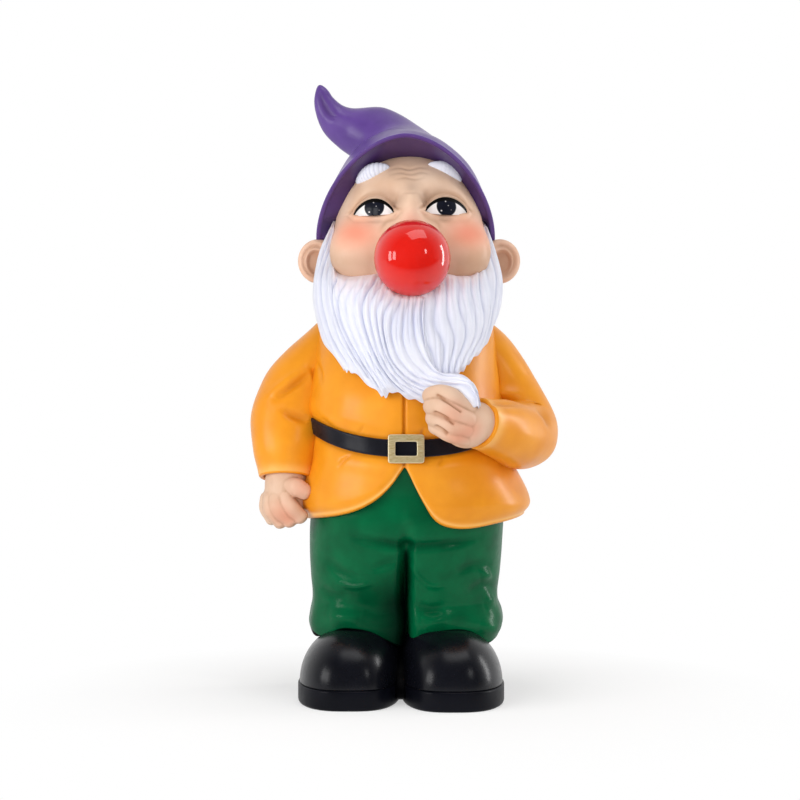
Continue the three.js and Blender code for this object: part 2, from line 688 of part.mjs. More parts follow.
// Head: an egg with puffed cheeks, sunken eye sockets and the root of the nose
const faceLumps = [
  ...[-1, 1].flatMap((side) => [
    { at: new Vector3(side * 26, -28, -12), spread: 12, lift: CHEEK_LIFT },
    { at: new Vector3(side * EYE_SPACING / 2, -34, 11), spread: 6.5, lift: -4.5 },
    { at: new Vector3(side * 16, -30, 25), spread: 8, lift: 2.5 },
  ]),
  { at: new Vector3(0.8, -39, 10), spread: 4.5, lift: 4 },
  { at: new Vector3(0.8, -39, 0), spread: 7, lift: 4 },
];

function headPoint(direction) {
  const { x, y, z } = direction;
  const depth = y < 0 ? HEAD_FRONT : HEAD_BACK;
  const height = z > 0 ? HEAD_UP : HEAD_DOWN;
  const radius = 1 / Math.hypot(x / HEAD_HALF_WIDTH, y / depth, z / height);
  const point = direction.clone().multiplyScalar(radius);
  const lift = faceLumps.reduce((sum, { at, spread, lift: high }) =>
    sum + high * Math.exp(-0.5 * (point.distanceTo(at) / spread) ** 2), 0);
  return headMiddle.clone().addScaledVector(direction, radius + lift);
}

function skullForm() {
  return skin(facets.head.rings, facets.head.sides, (share, turn) => {
    const fall = Math.PI * share;
    const angle = turn - 0.3 * Math.sin(turn);
    return headPoint(new Vector3(
      Math.sin(fall) * Math.sin(angle), -Math.sin(fall) * Math.cos(angle), Math.cos(fall),
    ));
  });
}

// Ears: shells that lean out from the head, each with a hollow in its front
function earForm(side) {
  const tall = EAR_HEIGHT / 2;
  const wide = EAR_WIDTH / 2;
  const tilt = side * 8;
  const { sides, rings, bowlSides, bowlRings } = facets.ear;
  const middle = headMiddle.clone().add(new Vector3(side * (HEAD_HALF_WIDTH - EAR_ROOT + wide), 3, -tall));
  const hollow = middle.clone().add(new Vector3(side * 3, -6, 0));
  const ear = lump(middle, new Vector3(wide, 4.5, tall), tilt, 0, sides, rings);
  const bowl = lump(hollow, new Vector3(4.5, 4.5, tall * 0.6), tilt, 0, bowlSides, bowlRings);
  return geometryOf(solidOf(ear).subtract(solidOf(bowl)));
}

// Eyes and eyebrows: inlays in the face
const eyeMiddle = (side) => headPoint(new Vector3(side * EYE_SPACING / 2, -34, 11).normalize());
function eyeForm(side) {
  const middle = eyeMiddle(side).add(new Vector3(0, EYE_DEPTH / 2, 0));
  const halves = new Vector3(EYE_HALF_WIDTH, EYE_DEPTH, EYE_HALF_HEIGHT);
  return lump(middle, halves, 0, side * 20, facets.eye.sides, facets.eye.rings);
}

function eyebrowForm(side) {
  const middle = headPoint(new Vector3(side * 17.2, -29, 28.5).normalize());
  const halves = new Vector3(EYEBROW_LENGTH / 2, EYEBROW_DEPTH / 2, EYEBROW_HEIGHT / 2);
  return lump(middle, halves, side * 22, side * 20, facets.eyebrow.sides, facets.eyebrow.rings);
}

// Ball: a glossy sphere in the middle of the face, held by a peg
function ballForm() {
  const middle = headMiddle.clone().add(new Vector3(1.2, -HEAD_FRONT - BALL_STANDOFF, -BALL_DROP));
  const halves = new Vector3(BALL_RADIUS, BALL_RADIUS, BALL_RADIUS);
  const sphere = lump(middle, halves, 0, 0, facets.ball.sides, facets.ball.rings);
  const pegEnd = middle.clone().add(new Vector3(0, BALL_RADIUS + BALL_PEG_DEPTH, 0));
  return joined(sphere, pin(middle, pegEnd, BALL_PEG_RADIUS, facets.ball.peg));
}

// Beard: the front depth and the half-width of the whole mass of hair, by the height over the head's middle
const beardSize = through([
  { at: -BEARD_DROP * 1.07, front: WAIST_FRONT + BEARD_OVER_BELLY * 0.6, wide: BEARD_HALF_WIDTH },
  { at: -BEARD_DROP * 0.8, front: WAIST_FRONT + BEARD_OVER_BELLY, wide: BEARD_HALF_WIDTH },
  { at: -BEARD_DROP * 0.54, front: HEAD_FRONT + BEARD_OVER_CHIN * 1.05, wide: BEARD_HALF_WIDTH + 1.5 },
  { at: -BEARD_DROP * 0.42, front: HEAD_FRONT + BEARD_OVER_CHIN * 0.95, wide: BEARD_HALF_WIDTH + 2.5 },
  { at: -BEARD_DROP * 0.29, front: HEAD_FRONT + BEARD_OVER_CHIN * 0.6, wide: BEARD_HALF_WIDTH + 3 },
  { at: -BEARD_DROP * 0.02, front: HEAD_FRONT * 0.9, wide: BEARD_HALF_WIDTH + 0.5 },
  { at: BEARD_DROP * 0.16, front: HEAD_FRONT * 0.6, wide: BEARD_HALF_WIDTH - 2.5 },
]);

// The fist that holds the tail, and the depth of the tail, which leaves the hair and lies over the fist
const fist = leftArm[leftArm.length - 1];
const tailSize = through([
  { at: fist.x - TAIL_REACH, depth: fist.y - TAIL_FORWARD * 0.2 },
  { at: fist.x - TAIL_REACH * 0.55, depth: fist.y - TAIL_FORWARD * 0.55 },
  { at: fist.x - TAIL_REACH * 0.28, depth: fist.y - TAIL_FORWARD * 0.88 },
  { at: fist.x + CUFF_RADIUS * 0.2, depth: fist.y - TAIL_FORWARD },
]);

const clamped = (share) => Math.min(Math.max(share, 0), 1);

function beardDepth(x, z, held) {
  const size = beardSize(z - headMiddle.z);
  const across = Math.min(0.99, Math.abs(x - headMiddle.x) / size.wide);
  const body = -size.front * (1 - across ** 2.4) ** (1 / 2.4);
  const sideways = gentle(clamped((x - fist.x + TAIL_REACH) / TAIL_BLEND));
  const downwards = gentle(clamped((fist.z + TAIL_RISE - z) / TAIL_BLEND));
  return held ? mix(body, tailSize(x).depth, sideways * downwards) : body;
}

// A guide strand in the front view: places from the middle of the head in shares of the beard's half-width
// and of its drop, then places from the fist in millimetres
function strand(shares, held = []) {
  const middle = headMiddle.clone().setY(0);
  return new THREE.CatmullRomCurve3([
    ...shares.map(([x, z]) => new Vector3(x * BEARD_HALF_WIDTH, 0, z * BEARD_DROP).add(middle)),
    ...held.map(([x, z]) => new Vector3(fist.x + x, 0, fist.z + z)),
  ]);
}

// The strands of the middle sweep from the cheeks into the tail over the fist
const sweptStrands = [
  strand([
    [-0.84, 0.07], [-0.95, -0.08], [-1, -0.23], [-1, -0.39],
    [-0.96, -0.53], [-0.88, -0.66], [-0.67, -0.82],
  ]),
  strand([
    [-0.77, 0.07], [-0.82, -0.11], [-0.85, -0.26], [-0.84, -0.42],
    [-0.77, -0.58], [-0.66, -0.71], [-0.56, -0.85],
  ]),
  strand([
    [-0.63, -0.28], [-0.68, -0.38], [-0.66, -0.47], [-0.58, -0.63],
    [-0.45, -0.78], [-0.33, -0.89], [-0.24, -0.99],
  ]),
  strand([
    [-0.37, -0.26], [-0.47, -0.41], [-0.47, -0.54], [-0.39, -0.69],
    [-0.27, -0.83], [-0.16, -0.91], [-0.04, -0.98],
  ]),
  strand(
    [[-0.22, -0.28], [-0.32, -0.47], [-0.3, -0.62], [-0.23, -0.76], [-0.1, -0.88]],
    [[-28.5, 13.5], [-20.5, 8.3]],
  ),
  strand(
    [[-0.12, -0.34], [-0.22, -0.53], [-0.22, -0.66], [-0.14, -0.79]],
    [[-29, 17.8], [-19, 13.5], [-9.5, 10]],
  ),
  strand(
    [[-0.02, -0.36], [-0.07, -0.54], [-0.08, -0.66], [-0.02, -0.77]],
    [[-25.5, 20.6], [-15.5, 17.8], [-6.5, 15.8], [-1.2, 5.7]],
  ),
  strand(
    [[0.17, -0.36], [0.16, -0.54], [0.19, -0.69]],
    [[-20.2, 26], [-17, 22.8], [-11.5, 22.3], [-6.5, 21.2], [-2, 16.5], [1.1, 7]],
  ),
];

// The strands at the gnome's left hang straight behind the tail
const hangingStrands = [
  strand([[0.02, -0.36], [0.02, -0.54], [0.07, -0.69], [0.15, -0.81], [0.2, -0.88]]),
  strand([[0.41, -0.26], [0.54, -0.47], [0.55, -0.64], [0.52, -0.77], [0.5, -0.84]]),
  strand([[0.74, -0.24], [0.8, -0.38], [0.82, -0.54], [0.76, -0.67], [0.66, -0.75]]),
  strand([[0.77, 0.09], [0.84, -0.11], [0.88, -0.27], [0.87, -0.43], [0.84, -0.58], [0.77, -0.69]]),
  strand([[0.82, 0.09], [0.91, -0.08], [0.97, -0.26], [0.96, -0.39], [0.92, -0.48], [0.88, -0.54]]),
];

// A sheet of hair through guide strands. Each ring runs down the front along one strand and back up behind it,
// and grooves part the locks. Its upper edge is tucked into the face.
function hairSheet(strands, locks, held) {
  const { ringsInLock, rows } = facets.beard;
  const rings = locks * ringsInLock;
  return skin(rings, 2 * rows, (share, turn) => {
    const inFront = turn <= Math.PI;
    const atEnd = share === 0 || share === 1;
    const down = atEnd ? 0.5 : 1 - Math.abs(1 - turn / Math.PI);
    const level = new THREE.CatmullRomCurve3(strands.map((guide) => guide.getPointAt(down)));
    const point = level.getPoint(share);
    const edge = gentle(clamped(Math.min(share, 1 - share) * rings));
    const swell = gentle(clamped(Math.min(down, 1 - down) * rows)) * edge;
    const groove = LOCK_GROOVE * Math.abs(Math.cos(Math.PI * locks * share)) ** 3;
    const tuck = BEARD_TUCK * (1 - gentle(clamped(down * rows)));
    const reach = inFront ? (groove - LOCK_BULGE) * swell : BEARD_THICKNESS * swell;
    return point.setY(beardDepth(point.x, point.z, held) + tuck + reach);
  });
}

// Hair round the nape: sections from ear to ear between an upper and a lower edge, each bulging out between
// them and running back into the head. Every edge point is placed from the middle of the head.
function hairForm() {
  const place = ([x, y, z]) => headMiddle.clone().add(new Vector3(x, y, z));
  const top = new THREE.CatmullRomCurve3([
    [-38, 4, 2], [-35, 20, -6], [-23, 33, -13], [0, 37, -16], [23, 33, -13], [35, 20, -6], [38, 4, 2],
  ].map(place));
  const bottom = new THREE.CatmullRomCurve3([
    [-42, 3, -22], [-40, 20, -28], [-26, 32, -32], [0, 36, -33], [26, 32, -32], [40, 20, -28], [42, 3, -22],
  ].map(place));
  const { locks, rings, rows } = facets.hair;
  return skin(rings, 2 * rows, (share, turn) => {
    const inFront = turn <= Math.PI;
    const atEnd = share === 0 || share === 1;
    const down = atEnd ? 0.5 : 1 - Math.abs(1 - turn / Math.PI);
    const point = top.getPoint(share).lerp(bottom.getPoint(share), down);
    const out = new Vector3(point.x - headMiddle.x, point.y, 0).normalize();
    const swell = Math.sin(Math.PI * down) ** 0.7;
    const groove = LOCK_GROOVE * Math.abs(Math.cos(Math.PI * locks * share)) ** 3;
    const reach = inFront ? HAIR_BULGE - groove : -HAIR_DEPTH;
    return point.addScaledVector(out, atEnd ? 0 : reach * swell);
  });
}

// Hat: rings from the open rim up a leaning crown to the tip, placed from the middle of the head.
// Each ring has a middle, a reach to the side, a reach to the front and a reach to the back.
const ring = (at, middle, side, front, back) => ({
  at, mx: middle[0], my: middle[1], mz: middle[2], sx: side[0], sz: side[1],
  fy: front[0], fz: front[1], by: back[0], bz: back[1],
});
const browHalfWidth = HEAD_HALF_WIDTH + CROWN_OVER_HEAD;
const crownHalfWidth = HEAD_HALF_WIDTH - CROWN_DRAWN_IN;
const crownFront = HEAD_FRONT - CROWN_DRAWN_IN;
const hatSize = through([
  ring(0, [-1.7, 2, 0], [RIM_HALF_WIDTH, 0], [-BRIM_FORWARD, BRIM_RISE], [RIM_BACK, -RIM_BACK_DROP]),
  ring(0.2, [-1.6, 4, CROWN_RISE], [browHalfWidth, 0.5], [-HEAD_FRONT, 31], [RIM_BACK - 1, -18]),
  ring(0.4, [-5, 7, HEAD_UP - CROWN_DRAWN_IN], [crownHalfWidth, 2], [-crownFront, 15], [HEAD_BACK - 3, -11]),
  ring(0.58, [-10.5, 10, 49.5], [17, 6], [-19, 5], [22, -5]),
  ring(0.72, [-HAT_TIP_LEAN * 0.51, 12, HAT_TIP_RISE - 22], [12, 9.5], [-12, 2], [14, -2]),
  ring(0.84, [-HAT_TIP_LEAN * 0.8, 12, HAT_TIP_RISE - 17.5], [7, 5.5], [-8, 1], [8, 0]),
  ring(0.94, [-HAT_TIP_LEAN * 0.93, 10, HAT_TIP_RISE - 9.5], [4.2, 3], [-5, 1], [5, 0]),
  ring(1, [-HAT_TIP_LEAN, 9, HAT_TIP_RISE], [1.8, 1], [-1.8, 0], [1.8, 0]),
]);

function hatPoint(share, turn, inwards) {
  const size = hatSize(share);
  const side = signedPower(Math.sin(turn), 1.14);
  const ahead = signedPower(Math.cos(turn), 1.14);
  const offset = new Vector3(size.sx * side, 0, size.sz * side);
  offset.y = ahead > 0 ? size.fy * ahead : -size.by * ahead;
  offset.z += ahead > 0 ? size.fz * ahead : -size.bz * ahead;
  const shrink = 1 - inwards / offset.length();
  return headMiddle.clone().add(new Vector3(size.mx, size.my, size.mz)).addScaledVector(offset, shrink);
}

// Where the underside of the hat meets the head: in front an arch over the forehead that flares out over the
// ears, a little inside the egg of the head, and behind it the rim drawn in
function hatSeat(turn) {
  const rim = hatPoint(0, turn, HAT_WALL);
  const ahead = Math.cos(turn);
  if (ahead <= 0) {
    return rim.lerp(headMiddle, 0.07);
  }
  const narrow = HEAD_HALF_WIDTH - HAT_SEAT_INSET;
  const flare = RIM_HALF_WIDTH - HAT_WALL - narrow;
  const reach = Math.abs(Math.sin(turn));
  const x = Math.sign(Math.sin(turn)) * (narrow * reach ** 0.95 + flare * reach ** 30);
  const z = HAT_SEAT_RISE * ahead ** 1.05;
  const room = Math.max(0, 1 - (x / HEAD_HALF_WIDTH) ** 2 - (z / HEAD_UP) ** 2);
  return headMiddle.clone().add(new Vector3(x, HAT_SEAT_INSET - HEAD_FRONT * Math.sqrt(room), z));
}

function hatForm() {
  const { sides, outside } = facets.hat;
  const tip = hatSize(1);
  const rings = [() => headMiddle.clone().add(new Vector3(tip.mx, tip.my, tip.mz))];
  for (let n = 0; n <= outside; n++) {
    rings.push((turn) => hatPoint(1 - n / outside, turn, 0));
  }
  rings.push((turn) => hatPoint(0, turn, HAT_WALL), hatSeat, () => headMiddle.clone());
  return skinOfRings(rings, sides);
}

// Painted finishes
const paints = {
  sole: { color: 0x14141c, roughness: 0.45 },
  boot: { color: 0x181922, roughness: 0.25 },
  trousers: { color: 0x07693a, roughness: 0.45 },
  jacket: { color: 0xf0981f, roughness: 0.45 },
  belt: { color: 0x17171f, roughness: 0.3 },
  buckle: { color: 0xb79a55, roughness: 0.35, metalness: 0.8 },
  skin: { color: 0xe6c09c, roughness: 0.5 },
  eye: { color: 0x1a1614, roughness: 0.15 },
  ball: { color: 0xd3211b, roughness: 0.06 },
  hair: { color: 0xf1f0f7, roughness: 0.5 },
  hat: { color: 0x60428a, roughness: 0.4 },
};

function casting(name, geometry, paint) {
  const finish = new THREE.MeshStandardMaterial({ metalness: 0, ...paints[paint] });
  const mesh = new THREE.Mesh(geometry, finish);
  mesh.name = name;
  return mesh;
}

// Assembly: each casting is cut for the neighbours that plug into it or press against it
function assemble() {
  const rightBoot = [bootDome(-1), anklePost(-1)];
  const web = seated(bootWeb(), rightBoot[0]);
  const leftBoot = [bootDome(1), anklePost(1)];
  const trousers = trousersForm();
  const jacket = jacketForm();
  const belt = beltForm();
  const buckle = seated(buckleForm(), belt, jacket);
  const hands = { right: rightHandPieces(), left: leftHandPieces() };
  const pegs = { right: shoulderPeg(rightArm), left: shoulderPeg(leftArm) };
  const outerSleeves = { right: sleeveForm(rightArm), left: sleeveForm(leftArm) };
  const sleeve = (side) => {
    const onBody = seated(outerSleeves[side], jacket, belt);
    return seated(joined(onBody, pegs[side]), ...hands[side]);
  };
  const ball = ballForm();
  const eyes = [eyeForm(-1), eyeForm(1)];
  const eyebrows = [eyebrowForm(-1), eyebrowForm(1)];
  const skull = skullForm();
  const ears = [earForm(-1), earForm(1)];
  const { sweptLocks, hangingLocks } = facets.beard;
  const sweptHair = hairSheet(sweptStrands, sweptLocks, true);
  const hangingHair = hairSheet(hangingStrands, hangingLocks, false);
  const clothes = [jacket, outerSleeves.right, outerSleeves.left];
  const beard = seated(joined(sweptHair, hangingHair), skull, ...ears, ball, ...clothes, ...hands.left);
  const hair = seated(hairForm(), skull, ...ears, beard, ...clothes);
  const group = new THREE.Group();
  group.add(
    casting("right_sole", soleForm(-1), "sole"),
    casting("left_sole", soleForm(1), "sole"),
    casting("right_boot", joined(...rightBoot), "boot"),
    casting("left_boot", joined(...leftBoot, web), "boot"),
    casting("trousers", seated(trousers, ...rightBoot, ...leftBoot), "trousers"),
    casting("jacket", seated(jacket, trousers, belt, pegs.right, pegs.left, skull), "jacket"),
    casting("belt", belt, "belt"),
    casting("buckle", buckle, "buckle"),
    casting("right_sleeve", sleeve("right"), "jacket"),
    casting("left_sleeve", sleeve("left"), "jacket"),
    casting("right_hand", seated(joined(...hands.right), jacket, belt, trousers), "skin"),
    casting("left_hand", seated(joined(...hands.left), jacket, belt, buckle), "skin"),
    casting("head", seated(joined(skull, ...ears), ball, ...eyes, ...eyebrows), "skin"),
    casting("right_eye", eyes[0], "eye"),
    casting("left_eye", eyes[1], "eye"),
    casting("right_eyebrow", eyebrows[0], "hair"),
    casting("left_eyebrow", eyebrows[1], "hair"),
    casting("nose_ball", ball, "ball"),
    casting("beard", beard, "hair"),
    casting("hair", hair, "hair"),
    casting("hat", seated(hatForm(), skull, ...ears, ...eyebrows, beard, hair), "hat"),
  );
  const box = new THREE.Box3().setFromObject(group);
  const middle = box.getCenter(new Vector3());
  group.position.set(-middle.x, -middle.y, -box.min.z);
  return group;
}

export default assemble();
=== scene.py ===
# %% [markdown]
# # Dressing a painted garden gnome
# The real figure is cast in resin from a carved master, painted by hand and varnished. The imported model
# gives its plain solids at their real size. This lesson lays a finely carved surface over each of them and
# paints it.

import bpy
import numpy as np
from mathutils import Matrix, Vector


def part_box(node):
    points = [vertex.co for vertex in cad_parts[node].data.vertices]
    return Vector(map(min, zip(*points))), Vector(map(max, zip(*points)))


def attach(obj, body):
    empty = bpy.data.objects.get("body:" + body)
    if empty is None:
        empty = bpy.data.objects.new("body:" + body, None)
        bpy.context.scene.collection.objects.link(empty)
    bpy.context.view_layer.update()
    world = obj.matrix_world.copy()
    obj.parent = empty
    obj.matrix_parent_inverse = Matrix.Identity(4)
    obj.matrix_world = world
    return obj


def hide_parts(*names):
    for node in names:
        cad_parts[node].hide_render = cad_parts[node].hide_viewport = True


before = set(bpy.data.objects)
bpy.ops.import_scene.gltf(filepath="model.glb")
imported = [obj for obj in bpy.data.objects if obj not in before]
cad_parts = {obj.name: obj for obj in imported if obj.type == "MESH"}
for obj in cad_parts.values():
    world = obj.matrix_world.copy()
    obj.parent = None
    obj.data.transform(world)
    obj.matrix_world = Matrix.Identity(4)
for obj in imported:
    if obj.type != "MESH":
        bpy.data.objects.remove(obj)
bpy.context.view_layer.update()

# %% [markdown]
# All shapes below are worked out in millimetres from one spot on the ground, with x to the viewer's right,
# y away from the viewer and z up. Two solids whose places are known in those millimetres, the ball and a
# sole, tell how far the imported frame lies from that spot, so nothing has to be fitted by eye.

# %% Find the spot on the ground that the shapes start from
BALL_MIDDLE = np.array([3.2, -53.0, 209.8])
BALL_RADIUS = 17.3
RIGHT_SOLE_Y = -10.0


def middle_of(node):
    """Middle of a solid's box, in millimetres: the mean of its two corners."""
    low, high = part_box(node)
    return 500.0 * (np.array(low) + np.array(high))


SHIFT = np.array([
    middle_of("nose_ball")[0] - BALL_MIDDLE[0],
    middle_of("right_sole")[1] - RIGHT_SOLE_Y,
    0.0,
])
print("the figure's own zero in the frame, in mm:", SHIFT.round(3))

# %% [markdown]
# The camera comes first. The picture was taken from the height of the belly and about a metre away, so a
# long lens at that place gives the same slight perspective.

# %% Camera
CAMERA_MM = np.array([-2.46, -900.0, 144.1])
camera = bpy.data.objects.new("camera", bpy.data.cameras.new("camera"))
camera.data.sensor_width = 36.0
camera.data.lens = 82.3
camera.location = (CAMERA_MM + SHIFT) / 1000.0
camera.rotation_euler = (np.pi / 2, 0.0, 0.0)
bpy.context.scene.collection.objects.link(camera)
bpy.context.scene.camera = camera
bpy.context.scene.view_settings.view_transform = "Standard"
print("camera", round(1000 * camera.location.length), "mm from the origin")

# %% [markdown]
# A carved form is easiest to give by a few stations and a smooth run between them, as a boat builder fairs
# a hull over its frames. These helpers work on whole arrays, so one call shapes all the points of a
# surface.

# %% Helpers for smooth forms
FULL_TURN = 2.0 * np.pi


def gentle(share):
    """A soft step: 0 before 0, 1 after 1, and 3s^2 - 2s^3 between."""
    share = np.clip(share, 0.0, 1.0)
    return share * share * (3.0 - 2.0 * share)


def bell(distance, width):
    """1 at no distance and e^-1 at the width: the bell curve of their ratio."""
    return np.exp(-(distance / width) ** 2)


def signed_power(value, power):
    """The power of the size of a number, with the sign of the number kept."""
    return np.sign(value) * np.abs(value) ** power


def turns(count):
    """Angles round a ring as one row, from 0 at the front."""
    return np.arange(count)[None, :] * FULL_TURN / count


def shares(count):
    """Even shares from 0 to 1 as one column."""
    return np.linspace(0.0, 1.0, count)[:, None]


def smooth_run(place, stations, values):
    """A cubic from each station to the next, whose slope at a station is that of the line through its
    neighbours."""
    stations = np.asarray(stations, float)
    values = np.asarray(values, float)
    number = np.arange(len(stations))
    before = np.maximum(number - 1, 0)
    after = np.minimum(number + 1, len(stations) - 1)
    step = (stations[after] - stations[before]).reshape(-1, *[1] * (values.ndim - 1))
    slopes = (values[after] - values[before]) / step
    place = np.clip(np.asarray(place, float), stations[0], stations[-1])
    first = np.clip(np.searchsorted(stations, place, side="right") - 1, 0, len(stations) - 2)
    span = stations[first + 1] - stations[first]
    t = (place - stations[first]) / span
    spare = (..., *[None] * (values.ndim - 1))
    span, t = span[spare], t[spare]
    start = (1 + 2 * t) * (1 - t) ** 2 * values[first] + t * t * (3 - 2 * t) * values[first + 1]
    return start + span * (t * (1 - t) ** 2 * slopes[first] - t * t * (1 - t) * slopes[first + 1])


def path_run(share, points):
    """A smooth path through points, by its share of the summed straight distances between them."""
    points = np.asarray(points, float)
    steps = np.linalg.norm(np.diff(points, axis=0), axis=1)
    return smooth_run(share, np.concatenate([[0.0], np.cumsum(steps)]) / steps.sum(), points)


print("half way up a soft step:", gentle(0.5))
print("a smooth run through 0, 1 and 4, half way from 1 to 4:", smooth_run(1.5, [0, 1, 2], [0, 1, 4]))

# %% Helpers for round forms
POLE_GAP = 0.01
# Takes the height out of a vector.
LEVEL = np.array([1.0, 1.0, 0.0])


def unit_of(vectors):
    """Vectors brought to a length of one."""
    return vectors / np.linalg.norm(vectors, axis=-1, keepdims=True)


def falls(count):
    """Even falls as one column, which stop short of both poles so that no ring shrinks to a point."""
    return POLE_GAP + shares(count) * (np.pi - 2.0 * POLE_GAP)


def directions(fall, turn):
    """Unit directions by their fall from straight up and their turn from the front."""
    across, ahead = np.sin(fall) * np.sin(turn), -np.sin(fall) * np.cos(turn)
    return np.stack(np.broadcast_arrays(across, ahead, np.cos(fall)), axis=-1)


def ball_skin(middle, halves, rings=24, sides=32):
    """An egg: unit directions times three half-sizes, or one for a ball."""
    return np.asarray(middle) + directions(falls(rings), turns(sides)) * np.asarray(halves)


print("a ball of 3 rings and 4 sides is an array of", ball_skin(0.0, 1.0, 3, 4).shape)

# %% [markdown]
# Carving is a push along the surface's own normal. A stroke is a line in the view from the front, as a
# modeller draws it on the clay; how near a point lies to it gives both the depth of the cut and the painted
# shade in it, a darker colour where shade falls. Soft lumps and hollows that no one drew come from a few
# slow waves of different lengths.

# %% Helpers for carving
TINY = 1e-9
TAPER_POWER, TAPER_ENDS, DRAWN_POINTS = 0.5, (0.02, 0.98), 10


def outward(grid):
    """Unit normals of a grid of rings: the cross product of its two steps, turned away from each ring's
    middle."""
    along = np.gradient(grid, axis=0)
    around = np.roll(grid, -1, axis=1) - np.roll(grid, 1, axis=1)
    normal = np.cross(around, along)
    normal /= np.linalg.norm(normal, axis=-1, keepdims=True) + TINY
    facing = np.sum(normal * (grid - grid.mean(axis=1, keepdims=True)))
    return normal * np.sign(facing)


def raised(grid, height):
    """Every point moved along its normal by a height in millimetres."""
    return grid + outward(grid) * np.asarray(height)[..., None]


def in_front(grid, depth=4.0):
    """1 on the half of each ring that faces the viewer, falling to 0 over a depth in millimetres."""
    return gentle((grid[..., 1].mean(axis=1, keepdims=True) - grid[..., 1]) / depth)


def strokes(grid, lines, width):
    """From 0 to 1 how deep a point lies in drawn strokes: the bell of its distance to the nearest stroke in
    the front view, times a taper that is the sine of the share along the stroke to a power."""
    spot = grid[..., [0, 2]]
    depth = np.zeros(grid.shape[:2])
    for line in lines:
        share = np.linspace(0.0, 1.0, DRAWN_POINTS * len(line))
        drawn = path_run(share, line)
        gaps = np.linalg.norm(spot[..., None, :] - drawn, axis=-1)
        taper = np.sin(np.pi * np.clip(share, *TAPER_ENDS)) ** TAPER_POWER
        nearest = gaps.argmin(axis=-1)
        depth = np.maximum(depth, bell(gaps.min(axis=-1), width) * taper[nearest])
    return depth * in_front(grid)


def slow_waves(points, length, seed):
    """Soft unevenness between -1 and 1: the mean of six sine waves of about one length in seeded
    directions."""
    draw = np.random.default_rng(seed)
    waves = draw.normal(size=(6, 3))
    waves *= (FULL_TURN / length) / np.linalg.norm(waves, axis=1, keepdims=True)
    return np.sin(points @ waves.T + draw.uniform(0.0, FULL_TURN, 6)).mean(axis=-1)


def carved(grid, kinds):
    """Strokes of several kinds on one grid: the sum of their heights in millimetres and their darkest
    painted shade."""
    depths = [(kind, strokes(grid, kind["lines"], kind["width"])) for kind in kinds.values()]
    height = sum(kind["height"] * depth for kind, depth in depths)
    wash = np.max([kind["wash"] * depth for kind, depth in depths], axis=0)
    return height, wash


print("two slow waves at the ball:", [slow_waves(BALL_MIDDLE, 20.0, seed).round(3) for seed in (1, 2)])

# %% [markdown]
# A closed surface is a grid of rings: quads between the rings, and a fan of triangles over each end. A
# sheet of hair has its ends zipped up instead, and a belt or a buckle closes in both directions. Two marks
# travel with every point for the paint to read. The first is a darker colour: painted shade in hollows,
# creases and under things, and on the eyes the real black line along the lid. The second is tint, a second
# colour such as the blush on a cheek, which on the jacket is a painted highlight and under the hat's brim
# painted shade.

# %% Faces of a closed surface
def skin(grid, ends="fan", **marks):
    """A closed surface: its grid of points, how its end rings close, and its marks from 0 to 1. A fan goes
    to the middle of a ring, a zip joins its front to its back, and a hoop has its last ring joined to its
    first."""
    return {"grid": grid, "ends": ends, **marks}


def faces_of(points, rings, sides, ends):
    """Quads between rings, with columns closed round, and the end rings closed by fans to the last two
    points or by zips of quads. The order of corners is turned round where the sum of point . (point x
    point) is negative."""
    ring = np.arange(rings if ends == "hoop" else rings - 1)[:, None]
    side = np.arange(sides)[None, :]
    number = lambda r, s: (r % rings) * sides + s % sides
    corners = [number(ring, side), number(ring, side + 1), number(ring + 1, side + 1), number(ring + 1, side)]
    quads = np.stack(corners, axis=-1).reshape(-1, 4)
    fans = np.empty((0, 3), int)
    if ends == "zip":
        spot = np.arange(sides // 2 - 1)
        zipped = np.stack([spot, sides - 1 - spot, sides - 2 - spot, spot + 1], axis=-1)
        quads = np.concatenate([quads, zipped, (rings - 1) * sides + zipped[:, ::-1]])
    if ends == "fan":
        spot = np.arange(sides)
        pole = np.full(sides, rings * sides)
        start = np.stack([pole, number(0, spot + 1), number(0, spot)], axis=-1)
        end = np.stack([pole + 1, number(rings - 1, spot), number(rings - 1, spot + 1)], axis=-1)
        fans = np.concatenate([start, end])
    triangles = np.concatenate([quads[:, [0, 1, 2]], quads[:, [0, 2, 3]], fans])
    a, b, c = (points[triangles[:, n]] for n in range(3))
    if np.sum(a * np.cross(b, c)) < 0:
        quads, fans = quads[:, ::-1], fans[:, ::-1]
    return quads.tolist() + fans.tolist()


print("a tube of 3 rings and 4 sides has", len(faces_of(np.zeros((14, 3)), 3, 4, "fan")), "faces")

# %% Meshes and pieces
MARKS = ("wash", "tint")


def into_frame(points):
    """Points in the figure's own millimetres as points of the frame, in metres."""
    return (points + SHIFT) / 1000.0


def write_marks(mesh, marks):
    """The marks written to a mesh, one number a point."""
    for name, values in marks.items():
        if name in mesh.attributes:
            mesh.attributes.remove(mesh.attributes[name])
        layer = mesh.attributes.new(name, "FLOAT", "POINT")
        layer.data.foreach_set("value", values.astype(np.float32))


